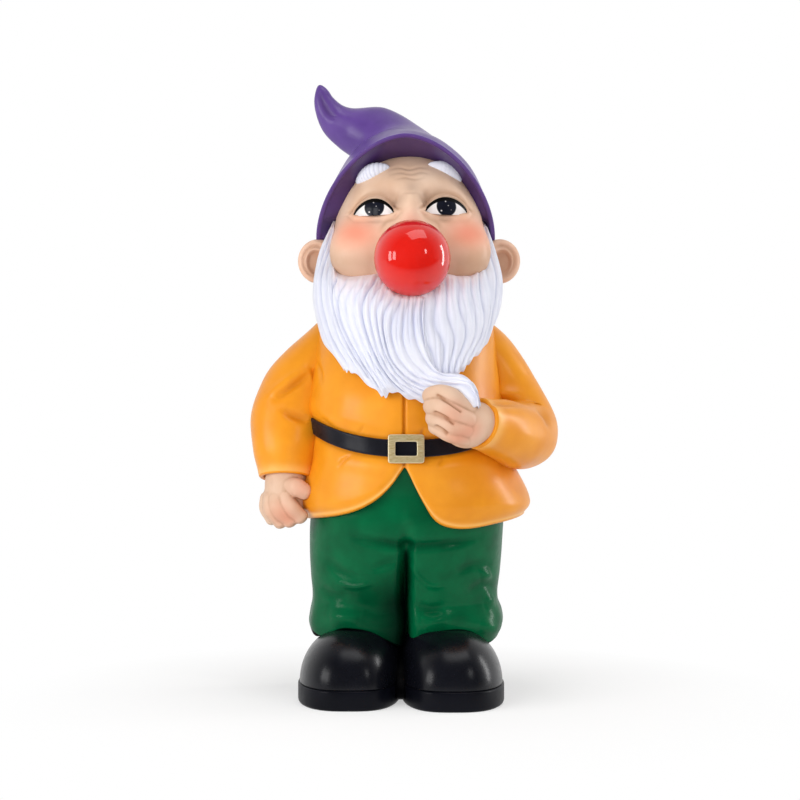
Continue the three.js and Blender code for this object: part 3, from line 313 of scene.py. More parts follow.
def mesh_of(*skins):
    """One mesh from closed skins: their points moved into the frame, their faces and their marks."""
    points, faces, marks = [], [], {mark: [] for mark in MARKS}
    count = 0
    for part in skins:
        grid, fan = part["grid"], part["ends"] == "fan"
        rings, sides = grid.shape[:2]
        own = grid.reshape(-1, 3)
        if fan:
            own = np.concatenate([own, grid[[0, -1]].mean(axis=1)])
        faces += [[corner + count for corner in face] for face in faces_of(own, rings, sides, part["ends"])]
        points.append(own)
        count += len(own)
        for mark in MARKS:
            value = np.broadcast_to(np.clip(part.get(mark, 0.0), 0.0, 1.0), (rings, sides))
            middles = value[[0, -1]].mean(axis=1) if fan else []
            marks[mark].append(np.concatenate([value.reshape(-1), middles]))
    mesh = bpy.data.meshes.new("carved")
    mesh.from_pydata(into_frame(np.concatenate(points)).tolist(), [], faces)
    write_marks(mesh, {mark: np.concatenate(values) for mark, values in marks.items()})
    mesh.shade_smooth()
    return mesh


def piece(solid, mesh, paint):
    """A finished piece: the mesh painted, riding on the figure's one body, in place of its solid."""
    mesh.name = solid + "_painted"
    made = bpy.data.objects.new(mesh.name, mesh)
    bpy.context.scene.collection.objects.link(made)
    mesh.materials.append(paint)
    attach(made, "root")
    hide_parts(solid)
    print(made.name, "has", len(mesh.polygons), "faces and stands for", solid)


print("marks carried by every point:", MARKS)

# %% [markdown]
# All the colours are acrylic paint on cast resin under a clear varnish. The varnish gives a thin, sharp
# reflection over a duller body colour; the brush leaves slow changes of tone; a darker colour painted into
# the hollows and under things is painted shade, and it also dulls the varnish there. Small helpers add one
# node each, so that a paint reads as a list of its layers.

# %% Helpers for paint
def linear(colour):
    """An sRGB hex colour as linear red, green, blue and a full alpha."""
    parts = np.array([int(colour[n:n + 2], 16) for n in (1, 3, 5)]) / 255.0
    return (*np.where(parts <= 0.04045, parts / 12.92, ((parts + 0.055) / 1.055) ** 2.4), 1.0)


def node(tree, kind, inputs, output=0, **settings):
    """Adds a node, sets its properties and fills its inputs, where a socket is linked and anything else is
    a value. Gives back one of its outputs."""
    made = tree.nodes.new("ShaderNode" + kind)
    for key, value in settings.items():
        setattr(made, key, value)
    for key, value in inputs.items():
        if isinstance(value, bpy.types.NodeSocket):
            tree.links.new(value, made.inputs[key])
        else:
            made.inputs[key].default_value = value
    return made.outputs[output] if made.outputs else None


def blank(name):
    """A new material with an empty node tree, and the object's own coordinates."""
    material = bpy.data.materials.new(name)
    material.use_nodes = True
    tree = material.node_tree
    tree.nodes.clear()
    return material, tree, node(tree, "TexCoord", {}, "Object")


def noise(tree, place, patch_mm, detail):
    """Cloudy noise. Its scale is 1000 over the size of its patches in millimetres, as the frame is in
    metres."""
    return node(tree, "TexNoise", {"Vector": place, "Scale": 1000.0 / patch_mm, "Detail": detail})


def remapped(tree, value, start=(0.0, 1.0), end=(0.0, 1.0)):
    """A value moved from one range to another and held at its ends."""
    ranges = dict(zip(("From Min", "From Max", "To Min", "To Max"), (*start, *end)))
    return node(tree, "MapRange", {"Value": value, **ranges})


def mixed(tree, share, first, second):
    """Two colours mixed by a share, where a hex colour is made linear and a socket is linked."""
    first, second = (linear(colour) if isinstance(colour, str) else colour for colour in (first, second))
    return node(tree, "Mix", {0: share, 6: first, 7: second}, 2, data_type="RGBA")


def mark_of(tree, name):
    """The share of a mark at each point."""
    return node(tree, "Attribute", {}, "Fac", attribute_name=name)


def shaded(tree, inputs):
    """The surface of a material: one shader with these inputs."""
    node(tree, "OutputMaterial", {"Surface": node(tree, "BsdfPrincipled", inputs)})


print("orange in linear light:", np.round(linear("#F5961E"), 3))

# %% Paints under varnish
CLOUD_RANGE = (0.35, 0.65)
PATCH_MM, WEAR_MM, GRAIN_MM = 14.0, 3.0, 0.9


def varnished_paint(name, colours, rough=(0.4, 0.55), varnish=0.28, shine=0.28):
    """Two tones in slow patches, then the tint, then the painted shade in the hollows, under a coat of
    varnish that the painted shade dulls."""
    light, dark, wash, tint = colours.split()
    material, tree, place = blank(name)
    patches = remapped(tree, noise(tree, place, PATCH_MM, 3.0), CLOUD_RANGE)
    colour = mixed(tree, patches, light, dark)
    colour = mixed(tree, mark_of(tree, "tint"), colour, tint)
    washed = mark_of(tree, "wash")
    grain = noise(tree, place, GRAIN_MM, 2.0)
    shaded(tree, {
        "Base Color": mixed(tree, washed, colour, wash),
        "Roughness": remapped(tree, noise(tree, place, WEAR_MM, 4.0), (0.3, 0.7), rough),
        "Normal": node(tree, "Bump", {"Height": grain, "Strength": 0.25, "Distance": 0.00005}),
        "IOR": 1.5, "Specular IOR Level": 0.03,
        "Coat Weight": remapped(tree, washed, end=(varnish, 0.0)), "Coat Roughness": shine,
    })
    print("mixed", name)
    return material


# The four colours of a paint are its light tone, dark tone, the colour of its painted shade, and its tint.
# The tint is blush on the skin, a painted highlight on the jacket, painted shade under the hat's brim and
# the trousers' hem, pink painted shade at the beard's roots and paler edges on the belt.
BOOT_PAINT = varnished_paint("black_gloss_paint_on_resin", "#101118 #0B0C12 #040406 #1C1D26",
                             rough=(0.25, 0.38), varnish=0.5, shine=0.27)
SOLE_PAINT = varnished_paint("black_sole_paint_on_resin", "#0C0D16 #090A11 #040406 #1C1D26",
                             varnish=0.2, shine=0.3)
TROUSER_PAINT = varnished_paint("green_acrylic_paint_on_resin", "#00623A #005331 #020F0B #0A1712",
                                varnish=0.22, shine=0.2)
JACKET_PAINT = varnished_paint("orange_acrylic_paint_on_resin", "#EF9A1C #E79017 #B4640F #FBBE66",
                               varnish=0.65, shine=0.32)
HAT_PAINT = varnished_paint("purple_acrylic_paint_on_resin", "#654893 #593D86 #2C1C3C #472E63",
                            varnish=0.65, shine=0.3)
BELT_PAINT = varnished_paint("black_belt_paint_on_resin", "#1B1B23 #131319 #08080B #34343D",
                             rough=(0.25, 0.4))
SKIN_PAINT = varnished_paint("flesh_acrylic_paint_on_resin", "#EACBB2 #E0BCA0 #9A6746 #F0957A")
HAIR_PAINT = varnished_paint("white_acrylic_paint_on_resin", "#E8E9F3 #E1E2ED #A9AECD #F3D6CF", varnish=0.2)

# %% [markdown]
# The soles and the boots are the foot of the casting: a thick black slab in the shape of an egg, wider at
# the toes, and a dome over it that is highest above the toe cap. An outline round the foot is one formula,
# and both pieces are made from that outline drawn in by a little at each height.

# %% Soles
SIDES = {"right": -1, "left": 1}
SOLE_LENGTH, SOLE_WIDTH, HEEL_WIDTH, SOLE_HEIGHT = 92.0, 51.0, 44.0, 9.5
FEET_MIDDLE_X, FEET_GAP, LEFT_STEP = -2.0, 0.1, 3.0
SOLE_ROUND, LIP_ROUND = 1.8, 0.9
FOOT_TURNS = turns(220) - 0.28 * np.sin(2 * turns(220))
OUTER_POWER, INNER_POWER, LENGTH_POWER = 0.78, 0.6, 0.92


def foot_middle(side):
    """Middle of a foot on the ground; the left foot is a step ahead."""
    step = LEFT_STEP if side > 0 else 0.0
    return np.array([FEET_MIDDLE_X + side * (SOLE_WIDTH + FEET_GAP) / 2, RIGHT_SOLE_Y - step])


def foot_outline(side, inset):
    """Round the foot: powers of the sine and cosine, fuller on the inner side, narrower at the heel."""
    sine, cosine = np.sin(FOOT_TURNS), np.cos(FOOT_TURNS)
    outer = sine * side > 0
    width = np.where(outer, HEEL_WIDTH + (SOLE_WIDTH - HEEL_WIDTH) * gentle((1 + cosine) / 2), SOLE_WIDTH)
    x = (width / 2 - inset) * signed_power(sine, np.where(outer, OUTER_POWER, INNER_POWER))
    y = -(SOLE_LENGTH / 2 - inset) * signed_power(cosine, LENGTH_POWER)
    return foot_middle(side) + np.stack([x, y], axis=-1)


def sole_grid(side):
    """The outline stacked from the flat underside, round its edge, up the wall and over the upper lip."""
    bend = np.linspace(0.0, np.pi / 2, 6)
    low, high = 1 - np.cos(bend), 1 - np.sin(bend)
    inset = np.concatenate([[14.0, 5.0], SOLE_ROUND * high, LIP_ROUND * low, [4.0]])
    z = np.concatenate([[0.0, 0.0], SOLE_ROUND * low, SOLE_HEIGHT - LIP_ROUND * high, [SOLE_HEIGHT]])
    flat = foot_outline(side, inset[:, None])
    return np.concatenate([flat, np.broadcast_to(z[:, None, None], (*flat.shape[:2], 1))], axis=-1)


for word, side in SIDES.items():
    piece(word + "_sole", mesh_of(skin(sole_grid(side))), SOLE_PAINT)

# %% Boots
BOOT_RISE, TOE_CAP, BOOT_INSET, BOOT_GAP = 25.0, 27.0, 0.8, 0.2
CROWN_REACH = 0.985
WEB_MIDDLE = np.array([FEET_MIDDLE_X, -5.0, 14.5])
WEB_HALVES = np.array([5.0, 26.0, 13.0])
WEB_LEAN, WEB_POWER = 0.9, 0.5


def boot_grid(side):
    """A dome: the outline drawn towards a crown over the toe cap by the cosine of the climb, upright on the
    inner side."""
    climb = shares(70) * np.pi / 2
    inner = np.maximum(0.0, -np.sin(FOOT_TURNS) * side) ** 4
    edge = foot_outline(side, BOOT_INSET * (1 - inner))
    crown = foot_middle(side) + np.array([0.0, TOE_CAP - SOLE_LENGTH / 2])
    pull = np.cos(climb * CROWN_REACH) ** (1.0 - 0.9 * inner)
    flat = crown + (edge - crown) * pull[..., None]
    z = SOLE_HEIGHT + BOOT_GAP + BOOT_RISE * np.sin(climb) * np.ones_like(FOOT_TURNS)
    return np.concatenate([flat, z[..., None]], axis=-1)


def web_grid():
    """The wall that joins the feet of the casting: an egg between the boots, squared by powers, leaning
    back upwards."""
    grid = signed_power(ball_skin(0.0, 1.0, 40, 60), WEB_POWER) * WEB_HALVES
    grid[..., 1] += WEB_LEAN * grid[..., 2]
    return WEB_MIDDLE + grid


# The web is given the darkest colour all over and no varnish, as painted shade between the boots.
WEB = skin(web_grid(), wash=1.0)
for word, side in SIDES.items():
    piece(word + "_boot", mesh_of(skin(boot_grid(side)), *([WEB] if side > 0 else [])), BOOT_PAINT)

# %% [markdown]
# The trousers are one casting. Both legs share an outline that is squarer than an ellipse, and a deep
# crease at the middle of the front and back parts them. The cloth is gathered over the boots, so the hem
# rises and falls in arcs.

# %% Trouser sections
TROUSER_TOP, HEM_LOW = 112.7, 28.0
TROUSER_POWER, CREASE_WIDTH = 2.3, 2.4
HEM_SECTION = (0.5, 47.0, 34.0, 34.0)
HEM_ARCS_X = [-48.0, -45.0, -40.9, -30.5, -24.8, -15.7, -8.6, 1.0, 6.2, 13.3, 20.5, 28.1, 35.3, 42.8, 48.5]
HEM_ARCS_Z = [34.0, 33.0, 30.8, 35.6, 35.8, 34.3, 31.2, 27.2, 30.4, 34.3, 35.2, 34.8, 32.0, 27.5, 31.0]
TROUSER_Z = [28.0, 35.0, 41.0, 47.0, 58.0, 74.0, 86.0, 99.4, 112.7]
# Each row has the middle's x, the half-width, the depths to the front and to the back, and the crease.
TROUSER_SIZES = np.array([
    [0.0, 45.0, 31.0, 32.0, 0.40], [0.5, 47.5, 34.5, 35.0, 0.40], [0.5, 47.1, 35.0, 35.0, 0.40],
    [0.0, 45.7, 34.5, 35.0, 0.40], [0.0, 46.1, 39.0, 37.4, 0.40], [0.5, 47.1, 43.0, 41.4, 0.14],
    [1.0, 47.5, 45.0, 43.0, 0.0], [2.0, 46.5, 46.0, 43.0, 0.0], [2.5, 47.4, 49.0, 42.0, 0.0],
])


def rounded_section(turn, x, wide, front, back, power):
    """Round a section at one height: powers of the sine and cosine, with its own depth to the front and to
    the back."""
    across = signed_power(np.sin(turn), 2 / power)
    ahead = signed_power(np.cos(turn), 2 / power)
    return x + wide * across, -np.where(ahead > 0, front, back) * ahead


def crowded(turn):
    """Angles drawn together at the front and the back, where the creases are."""
    return turn - 0.3 * np.sin(2 * turn)


def trouser_grid(rings, sides):
    """Sections from the hem to the waist, with x, half-width, depths and crease from a smooth run over the
    height. The arcs of the hem die out towards the back."""
    turn = crowded(turns(sides))
    arcs = smooth_run(rounded_section(turn, *HEM_SECTION, TROUSER_POWER)[0], HEM_ARCS_X, HEM_ARCS_Z)
    hem = HEM_LOW + (arcs - HEM_LOW) * gentle(np.cos(turn) * 2.5 + 0.5)
    z = hem + (TROUSER_TOP - hem) * shares(rings)
    x_mid, wide, front, back, crease = np.moveaxis(smooth_run(z, TROUSER_Z, TROUSER_SIZES), -1, 0)
    x, y = rounded_section(turn, x_mid, wide, front, back, TROUSER_POWER)
    return np.stack([x, y * (1 - crease * bell(x - x_mid, CREASE_WIDTH)), z], axis=-1)


print("the hem rises and falls between", min(HEM_ARCS_Z), "and", max(HEM_ARCS_Z), "mm")

# %% Trousers
# Each kind's darkening is painted shade in its cut.
TROUSER_STROKES = {
    "folds": {"width": 2.6, "height": -1.2, "wash": 0.25, "lines": [
        [(-38.0, 68.0), (-30.0, 62.0), (-21.0, 60.5)], [(-16.0, 64.0), (-9.0, 67.0), (-3.0, 69.0)],
        [(-41.0, 54.0), (-34.0, 50.5), (-26.0, 52.0)], [(24.0, 62.0), (33.0, 66.0), (42.0, 63.5)],
        [(30.0, 52.0), (38.0, 56.0), (46.0, 53.0)], [(6.0, 47.0), (12.0, 44.5), (19.0, 45.5)],
        [(-20.0, 45.0), (-12.0, 43.0), (-5.0, 46.0)],
    ]},
    "crotch": {"width": 2.2, "height": -1.6, "wash": 0.5, "lines": [
        [(-23.5, 79.6), (-0.3, 75.9), (23.6, 77.0), (34.8, 78.9)],
    ]},
    "ridges": {"width": 1.3, "height": 0.8, "wash": 0.0, "lines": [
        [(1.8, 66.8), (8.0, 59.2), (12.1, 56.4), (17.7, 56.4)], [(-33.0, 57.0), (-24.0, 55.5), (-15.0, 58.0)],
    ]},
    "puffs": {"width": 3.4, "height": 1.6, "wash": 0.0, "lines": [
        [(-36.0, 40.0), (-29.0, 40.5), (-22.0, 40.5)], [(8.0, 37.5), (14.0, 39.0), (20.0, 39.5)],
        [(36.0, 36.0), (41.0, 34.5), (45.0, 33.0)],
        [(36.0, 60.0), (41.0, 61.5)], [(38.0, 46.5), (43.0, 48.0)],
    ]},
}
GATHER_STRETCH = np.array([1.0, 1.0, 0.45])
CREASE_X, SHADE_WIDTH = 0.4, 21.0
HEM_WALL, HEM_ROUND = 3.0, 1.1


def hem_rolled(grid, inwards, rise):
    """Rings in front of the first one that turn its edge inwards round a half circle and close the leg."""
    out = unit_of((grid[:1] - grid[:1].mean(axis=1, keepdims=True)) * LEVEL)
    bend = np.linspace(np.pi, 0.0, 7)[:-1, None, None]
    edge = grid[:1] - out * inwards * (1 - np.cos(bend)) / 2
    edge[..., 2] -= rise * np.sin(bend[..., 0])
    return np.concatenate([edge, grid])


def trousers_mesh():
    """The sections with strokes carved in, and slow unevenness of the gathered cloth. Painted shade is
    darkest in the crease, and darkens the right leg on the side of the crease, more towards the ground."""
    grid = trouser_grid(230, 330)
    carving, wash = carved(grid, TROUSER_STROKES)
    gather = slow_waves(grid * GATHER_STRETCH, length=17.0, seed=4) * gentle((62.0 - grid[..., 2]) / 24.0)
    grid = raised(grid, carving + 1.3 * gather + 0.5 * slow_waves(grid, length=26.0, seed=5))
    from_crease, z = grid[..., 0] - CREASE_X, grid[..., 2]
    # Painted shade: a dark line in the crease, and the right leg darkened beside it towards the ground.
    crease = bell(from_crease, 1.1) * gentle((77.0 - z) / 6.0)
    shade = bell(from_crease, SHADE_WIDTH) * gentle(0.5 - from_crease) * gentle((72.0 - z) / 26.0)
    wash = np.maximum.reduce([wash, 0.95 * crease, 0.95 * shade])
    whole = hem_rolled(grid, HEM_WALL, HEM_ROUND)
    rolled = len(whole) - len(grid)
    # The rolled hem is dark all over, as painted shade under the hem.
    wash = np.concatenate([np.ones((rolled, wash.shape[1])), wash])
    tint = np.arange(len(whole))[:, None] < rolled - 1
    return mesh_of(skin(whole, wash=wash, tint=tint))


piece("trousers", trousers_mesh(), TROUSER_PAINT)

# %% [markdown]
# The jacket is a thick shell that swells over the belly and flares into a skirt with a front opening. Its
# hem drops in a curve from the point of the opening, faster on the gnome's left. The cloth is pulled in by
# the belt, so small creases run away from it, and a groove down the middle is where one front laps over the
# other.

# %% Jacket sections
HEM_Z, OPENING_Z, BELT_Z, COLLAR_Z = 86.0, 113.0, 121.5, 197.5
OPENING_X, HEM_HALF = -3.0, 53.5
JACKET_Z = [86.0, 95.6, 112.6, 125.5, 143.2, 161.8, 183.5, 191.9, 197.5]
# Each row has the middle's x, the half-width, and the depths to the front and to the back.
JACKET_SIZES = np.array([
    [4.5, 53.5, 52.0, 47.0], [4.5, 57.0, 54.0, 49.0], [2.5, 51.0, 52.5, 45.5], [1.0, 47.0, 51.0, 42.0],
    [0.0, 48.0, 51.5, 42.0], [0.0, 46.0, 45.0, 40.0], [1.0, 41.0, 35.1, 34.4], [1.0, 31.6, 27.6, 29.4],
    [1.0, 20.0, 20.0, 20.0],
])
JACKET_POWER = 2.15
BELT_RISE_BACK, BELT_RISE_SIDES = 16.0, 5.6


def jacket_points(turn, z, outwards=0.0):
    """Points of the jacket's sections at any angle and height, moved out by a distance."""
    x_mid, wide, front, back = np.moveaxis(smooth_run(z, JACKET_Z, JACKET_SIZES), -1, 0)
    x, y = rounded_section(turn, x_mid, wide + outwards, front + outwards, back + outwards, JACKET_POWER)
    return np.stack(np.broadcast_arrays(x, y, z), axis=-1)


def hem_height(turn):
    """Height of the hem: it falls from the opening's point as an exponential of the distance to the middle,
    to a low line that is a little raised at the gnome's right front and left side and dips at its left
    flap."""
    x = HEM_HALF * signed_power(np.sin(turn), 2 / JACKET_POWER) - OPENING_X
    right = x < 0
    ahead = np.maximum(0.0, np.cos(turn))
    low = HEM_Z + np.where(right, 3.0 * ahead, 2.5 * np.sin(turn) ** 6 - 2.0 * bell(x - 27.0, 14.0))
    fall = np.exp(-(np.abs(x) / np.where(right, 14.6, 7.2)) ** np.where(right, 1.2, 1.48))
    return low + (OPENING_Z - low) * fall * gentle(np.sqrt(ahead))


def belt_height(turn):
    """Height of the belt's middle: low at the front of the belly, higher at the sides and the back."""
    return BELT_Z + BELT_RISE_BACK * np.sin(turn / 2) ** 2 + BELT_RISE_SIDES * np.sin(turn) ** 2


print("the belt rises from", BELT_Z, "to", round(float(belt_height(np.pi)), 1), "mm at the back")

# %% Jacket
JACKET_WALL, HEM_LIFT, EDGE_INSET = 3.0, 1.0, 0.8
LAP_X = -0.5
JACKET_STROKES = {
    "creases": {"width": 0.8, "height": -0.8, "wash": 0.2, "lines": [
        [(-39.5, 135.5), (-34.5, 131.5)], [(-19.2, 132.2), (-21.5, 128.5)],
        [(-31.0, 112.4), (-28.5, 115.8), (-25.5, 118.2)], [(15.5, 113.5), (18.5, 118.0)],
        [(8.5, 130.5), (7.0, 126.5)], [(-43.0, 163.5), (-40.5, 158.0), (-39.5, 152.5)],
    ]},
}


def jacket_mesh():
    """Sections from the collar down to the hem, carved, then rolled under and up the inside of the skirt.
    The lap is a groove with a step beside it, the belt presses the cloth in, and the hem's edge is rounded,
    with a painted highlight along it. Painted shade darkens the lap, the creases, the cloth along the belt
    and the inside of the skirt."""
    turn = crowded(turns(330))
    hem = hem_height(turn)
    z = COLLAR_Z + (hem + HEM_LIFT - COLLAR_Z) * shares(210)
    grid = jacket_points(turn, z)
    from_belt = z - belt_height(turn)
    carving, wash = carved(grid, JACKET_STROKES)
    front, from_lap = in_front(grid), grid[..., 0] - LAP_X
    lap = bell(from_lap, 0.75) * front
    step = gentle(from_lap / 0.5) * bell(grid[..., 0], 5.0) * front
    bulge = 0.9 * bell(np.abs(from_belt) - 9.0, 5.0) - 1.0 * bell(from_belt, 5.0)
    edge = gentle((hem + 7.0 - z) / 7.0) ** 2
    uneven = 0.35 * slow_waves(grid, length=24.0, seed=7)
    grid = raised(grid, carving + bulge + uneven + 0.5 * step - 1.2 * lap - 1.1 * edge)
    # Painted shade in the lap, the creases and along both edges of the belt.
    wash = np.maximum.reduce([0.95 * lap, wash, 0.55 * bell(np.abs(from_belt) - 4.6, 0.9)])
    # A painted highlight in a band along the hem's edge.
    tint = 0.8 * bell(z - hem - 1.2, 0.9) * np.ones_like(turn)
    bend = np.linspace(0.0, np.pi, 9)[1:, None]
    roll = -EDGE_INSET - JACKET_WALL * (1 - np.cos(bend)) / 2
    below = jacket_points(turn, hem + HEM_LIFT - 1.2 * np.sin(bend), roll)
    climb = (OPENING_Z + 2.0 - hem) * shares(12)[1:]
    inside = jacket_points(turn, hem + HEM_LIFT + climb, -EDGE_INSET - JACKET_WALL)
    hidden = np.concatenate([below, inside])
    # Painted shade inside the skirt, darker the further in.
    wash = np.concatenate([wash, shares(len(hidden)) * np.ones_like(turn)])
    tint = np.concatenate([tint, np.zeros(hidden.shape[:2])])
    return mesh_of(skin(np.concatenate([grid, hidden]), wash=wash, tint=tint))


piece("jacket", jacket_mesh(), JACKET_PAINT)

# %% [markdown]
# The belt is a flat band that dips at the front, and the buckle a plain frame on it. Both are hoops: a
# small section with rounded corners carried all the way round, so the grid closes in both directions and
# has no ends to cover.

# %% Belt
BELT_WIDTH, BELT_PROUD, BELT_SEAT = 8.0, 1.3, 1.2


def square_section(count, power):
    """A rounded square from -1 to 1 in both directions: powers of the cosine and sine."""
    turn = turns(count)[0]
    return signed_power(np.cos(turn), 2 / power), signed_power(np.sin(turn), 2 / power)


def belt_mesh():
    """The section's height and depth carried along the belt's line on the jacket, with paler front edges."""
    up, out = square_section(40, power=6.0)
    turn = turns(360).T
    depth = (BELT_PROUD - BELT_SEAT) / 2 + out * (BELT_PROUD + BELT_SEAT) / 2
    grid = jacket_points(turn, belt_height(turn) + up * BELT_WIDTH / 2, depth)
    pale_edges = 0.5 * bell(np.abs(up) - 0.93, 0.05) * (out > 0.3)
    return mesh_of(skin(grid, ends="hoop", tint=pale_edges))


piece("belt", belt_mesh(), BELT_PAINT)

# %% Buckle of gold paint
BUCKLE_WIDTH, BUCKLE_HEIGHT, BUCKLE_BAR, BUCKLE_THICK = 16.9, 13.5, 3.5, 2.4
BUCKLE_X, BUCKLE_GAP, BUCKLE_POWER = -1.0, 0.2, 0.16


def gold_paint():
    """Bronze powder in a clear binder: a rough metal with fine brush lines and paler edges."""
    material, tree, place = blank("gold_bronze_paint_on_resin")
    lines = node(tree, "Mapping", {"Vector": place, "Scale": (1.0, 1.0, 7.0)})
    brush = remapped(tree, noise(tree, lines, 2.4, 4.0), CLOUD_RANGE)
    colour = mixed(tree, brush, "#EADAAE", "#D0B87E")
    shaded(tree, {
        "Base Color": mixed(tree, mark_of(tree, "tint"), colour, "#F3E7C4"), "Metallic": 0.55,
        "Roughness": remapped(tree, brush, end=(0.3, 0.48)),
        "Normal": node(tree, "Bump", {"Height": brush, "Strength": 0.3, "Distance": 0.0001}),
    })
    return material


def buckle_mesh():
    """Two rounded rectangles, outer and inner, and a small section carried round between them, lying on the
    slope of the belly."""
    across, out = square_section(32, power=5.0)
    turn = turns(240).T
    inset = BUCKLE_BAR * (1 - across) / 2
    x = BUCKLE_X + (BUCKLE_WIDTH / 2 - inset) * signed_power(np.cos(turn), BUCKLE_POWER)
    z = (BUCKLE_HEIGHT / 2 - inset) * signed_power(np.sin(turn), BUCKLE_POWER)
    top, low = jacket_points(0.0, BELT_Z + np.array([0.5, -0.5]) * BELT_WIDTH)
    slope = unit_of((low - top) * np.array([0.0, 1.0, 1.0]))
    face = np.array([0.0, slope[2], -slope[1]])
    start = jacket_points(0.0, np.array(BELT_Z), BELT_PROUD + BUCKLE_GAP + BUCKLE_THICK / 2)
    grid = start + x[..., None] * np.array([1.0, 0.0, 0.0]) - z[..., None] * slope
    grid = grid + (out * BUCKLE_THICK / 2)[:, None] * face
    pale_rim = 0.8 * bell(np.abs(across) - 0.9, 0.12) * (out > 0.2)
    return mesh_of(skin(grid, ends="hoop", tint=pale_rim))


piece("buckle", buckle_mesh(), gold_paint())

# %% [markdown]
# A sleeve is a limb: rings that stay square to a smooth path from the shoulder over the elbow to the cuff.
# The cuff rolls in round a thick edge, and folds gather where the arm bends, so strokes are pressed in
# there.

# %% Paths and folds of the arms
# The darkening in a fold is painted shade.
FOLD = {"width": 1.8, "height": -1.9, "wash": 0.4}
RIDGE = {"width": 2.4, "height": 1.1, "wash": 0.0}
ARMS = {
    "right": {
        "radii": [14.5, 16.4, 19.2, 16.4, 12.6], "reference": (0.0, -1.0, 0.0),
        "path": [
            (-22, 1, 181), (-41, 0, 161.5), (-50.8, -2, 149), (-56.8, -6, 134), (-57.6, -12, 119.5),
            (-57.8, -15, 107.5),
        ],
        "folds": [
            [(-62.0, 145.0), (-54.0, 150.5), (-45.5, 157.0)],
            [(-44.7, 159.6), (-43.3, 156.5), (-42.2, 153.3)],
            [(-58.5, 139.0), (-52.0, 136.0), (-46.3, 133.9)],
        ],
        "ridges": [[(-66.2, 145.6), (-56.0, 153.8), (-46.0, 160.5)]],
    },
    "left": {
        "radii": [14.5, 15.6, 16.5, 13.9, 11.3], "reference": (0.3, 0.0, 1.0),
        "path": [
            (23, 2, 178.5), (40.5, 2, 163.5), (50, 1, 147), (58, -8, 129.5), (53, -27, 127.5),
            (45, -42, 130.5), (33.5, -57.5, 133.4),
        ],
        "folds": [
            [(42.5, 163.0), (43.0, 153.0), (43.0, 146.0)], [(36.0, 142.5), (46.0, 143.5), (56.0, 143.0)],
            [(63.0, 141.0), (67.5, 136.0), (68.5, 131.5)],
        ],
        "ridges": [[(38.0, 146.5), (46.0, 147.5), (56.0, 147.0)]],
    },
}


for word, arm in ARMS.items():
    print("the", word, "cuff ends at", arm["path"][-1], "mm")

# %% Sleeves
SLEEVE_AT = [0.0, 0.25, 0.6, 0.85, 1.0]
SLEEVE_RINGS, SLEEVE_SIDES = 170, 150
CUFF_WALL, CUFF_DEPTH = 2.4, 8.0


def limb(path, radius_at, radii, sides, steps, reference, flat=1.0):
    """Rings square to a smooth path: its tangent crossed with a reference direction, and again, gives the
    ring's plane."""
    share = np.linspace(0.0, 1.0, steps)
    centre = path_run(share, path)
    tangent = unit_of(np.gradient(centre, axis=0))
    across = unit_of(np.cross(tangent, reference))
    up = np.cross(across, tangent)
    radius = smooth_run(share, radius_at, radii)[:, None, None]
    turn = turns(sides)[..., None]
    return centre[:, None] + radius * (across[:, None] * np.cos(turn) + up[:, None] * np.sin(turn) * flat)


def cuff_rolled(grid, wall, depth):
    """Rings after the last one: its edge turned in round a half circle and carried back up the inside."""
    middle = grid[-1:].mean(axis=1, keepdims=True)
    along = unit_of(middle - grid[-6:-5].mean(axis=1, keepdims=True))
    out = unit_of(grid[-1:] - middle)
    bend = np.linspace(0.0, np.pi, 9)[1:, None, None]
    edge = grid[-1:] - out * wall * (1 - np.cos(bend)) / 2 + along * np.sin(bend) * wall * 0.4
    back = edge[-1:] - along * depth * np.linspace(0.1, 1.0, 8)[:, None, None]
    return np.concatenate([grid, edge, back])


def sleeve_mesh(arm):
    """The limb with its folds pressed in, ridges raised beside them, slow unevenness, and a cuff whose rim
    is a little proud, with a painted highlight on it. Painted shade darkens the folds and the inside of the
    cuff."""
    grid = limb(arm["path"], SLEEVE_AT, arm["radii"], SLEEVE_SIDES, SLEEVE_RINGS, arm["reference"])
    bends = {"folds": {**FOLD, "lines": arm["folds"]}, "ridges": {**RIDGE, "lines": arm["ridges"]}}
    carving, wash = carved(grid, bends)
    rim = bell((1 - shares(SLEEVE_RINGS)) * 90.0, 3.0) * np.ones((1, SLEEVE_SIDES))
    grid = raised(grid, carving + 0.45 * slow_waves(grid, length=19.0, seed=11) + 0.4 * rim)
    whole = cuff_rolled(grid, CUFF_WALL, CUFF_DEPTH)
    hidden = np.ones((len(whole) - len(grid), SLEEVE_SIDES))
    # Painted shade inside the cuff, darker the further in.
    wash = np.concatenate([wash, gentle(np.linspace(-0.3, 1.0, len(hidden)))[:, None] * hidden])
    # A painted highlight on the cuff's rim.
    return mesh_of(skin(whole, wash=wash, tint=np.concatenate([0.7 * rim, 0.0 * hidden])))


for word, arm in ARMS.items():
    piece(word + "_sleeve", sleeve_mesh(arm), JACKET_PAINT)

# %% [markdown]
# A hand is a wrist, a palm and five bent digits that flow into each other. Each is a closed surface of its
# own, and a voxel remesh melts them into one skin, as wet clay is smoothed over; a little smoothing then
# rounds the joins.

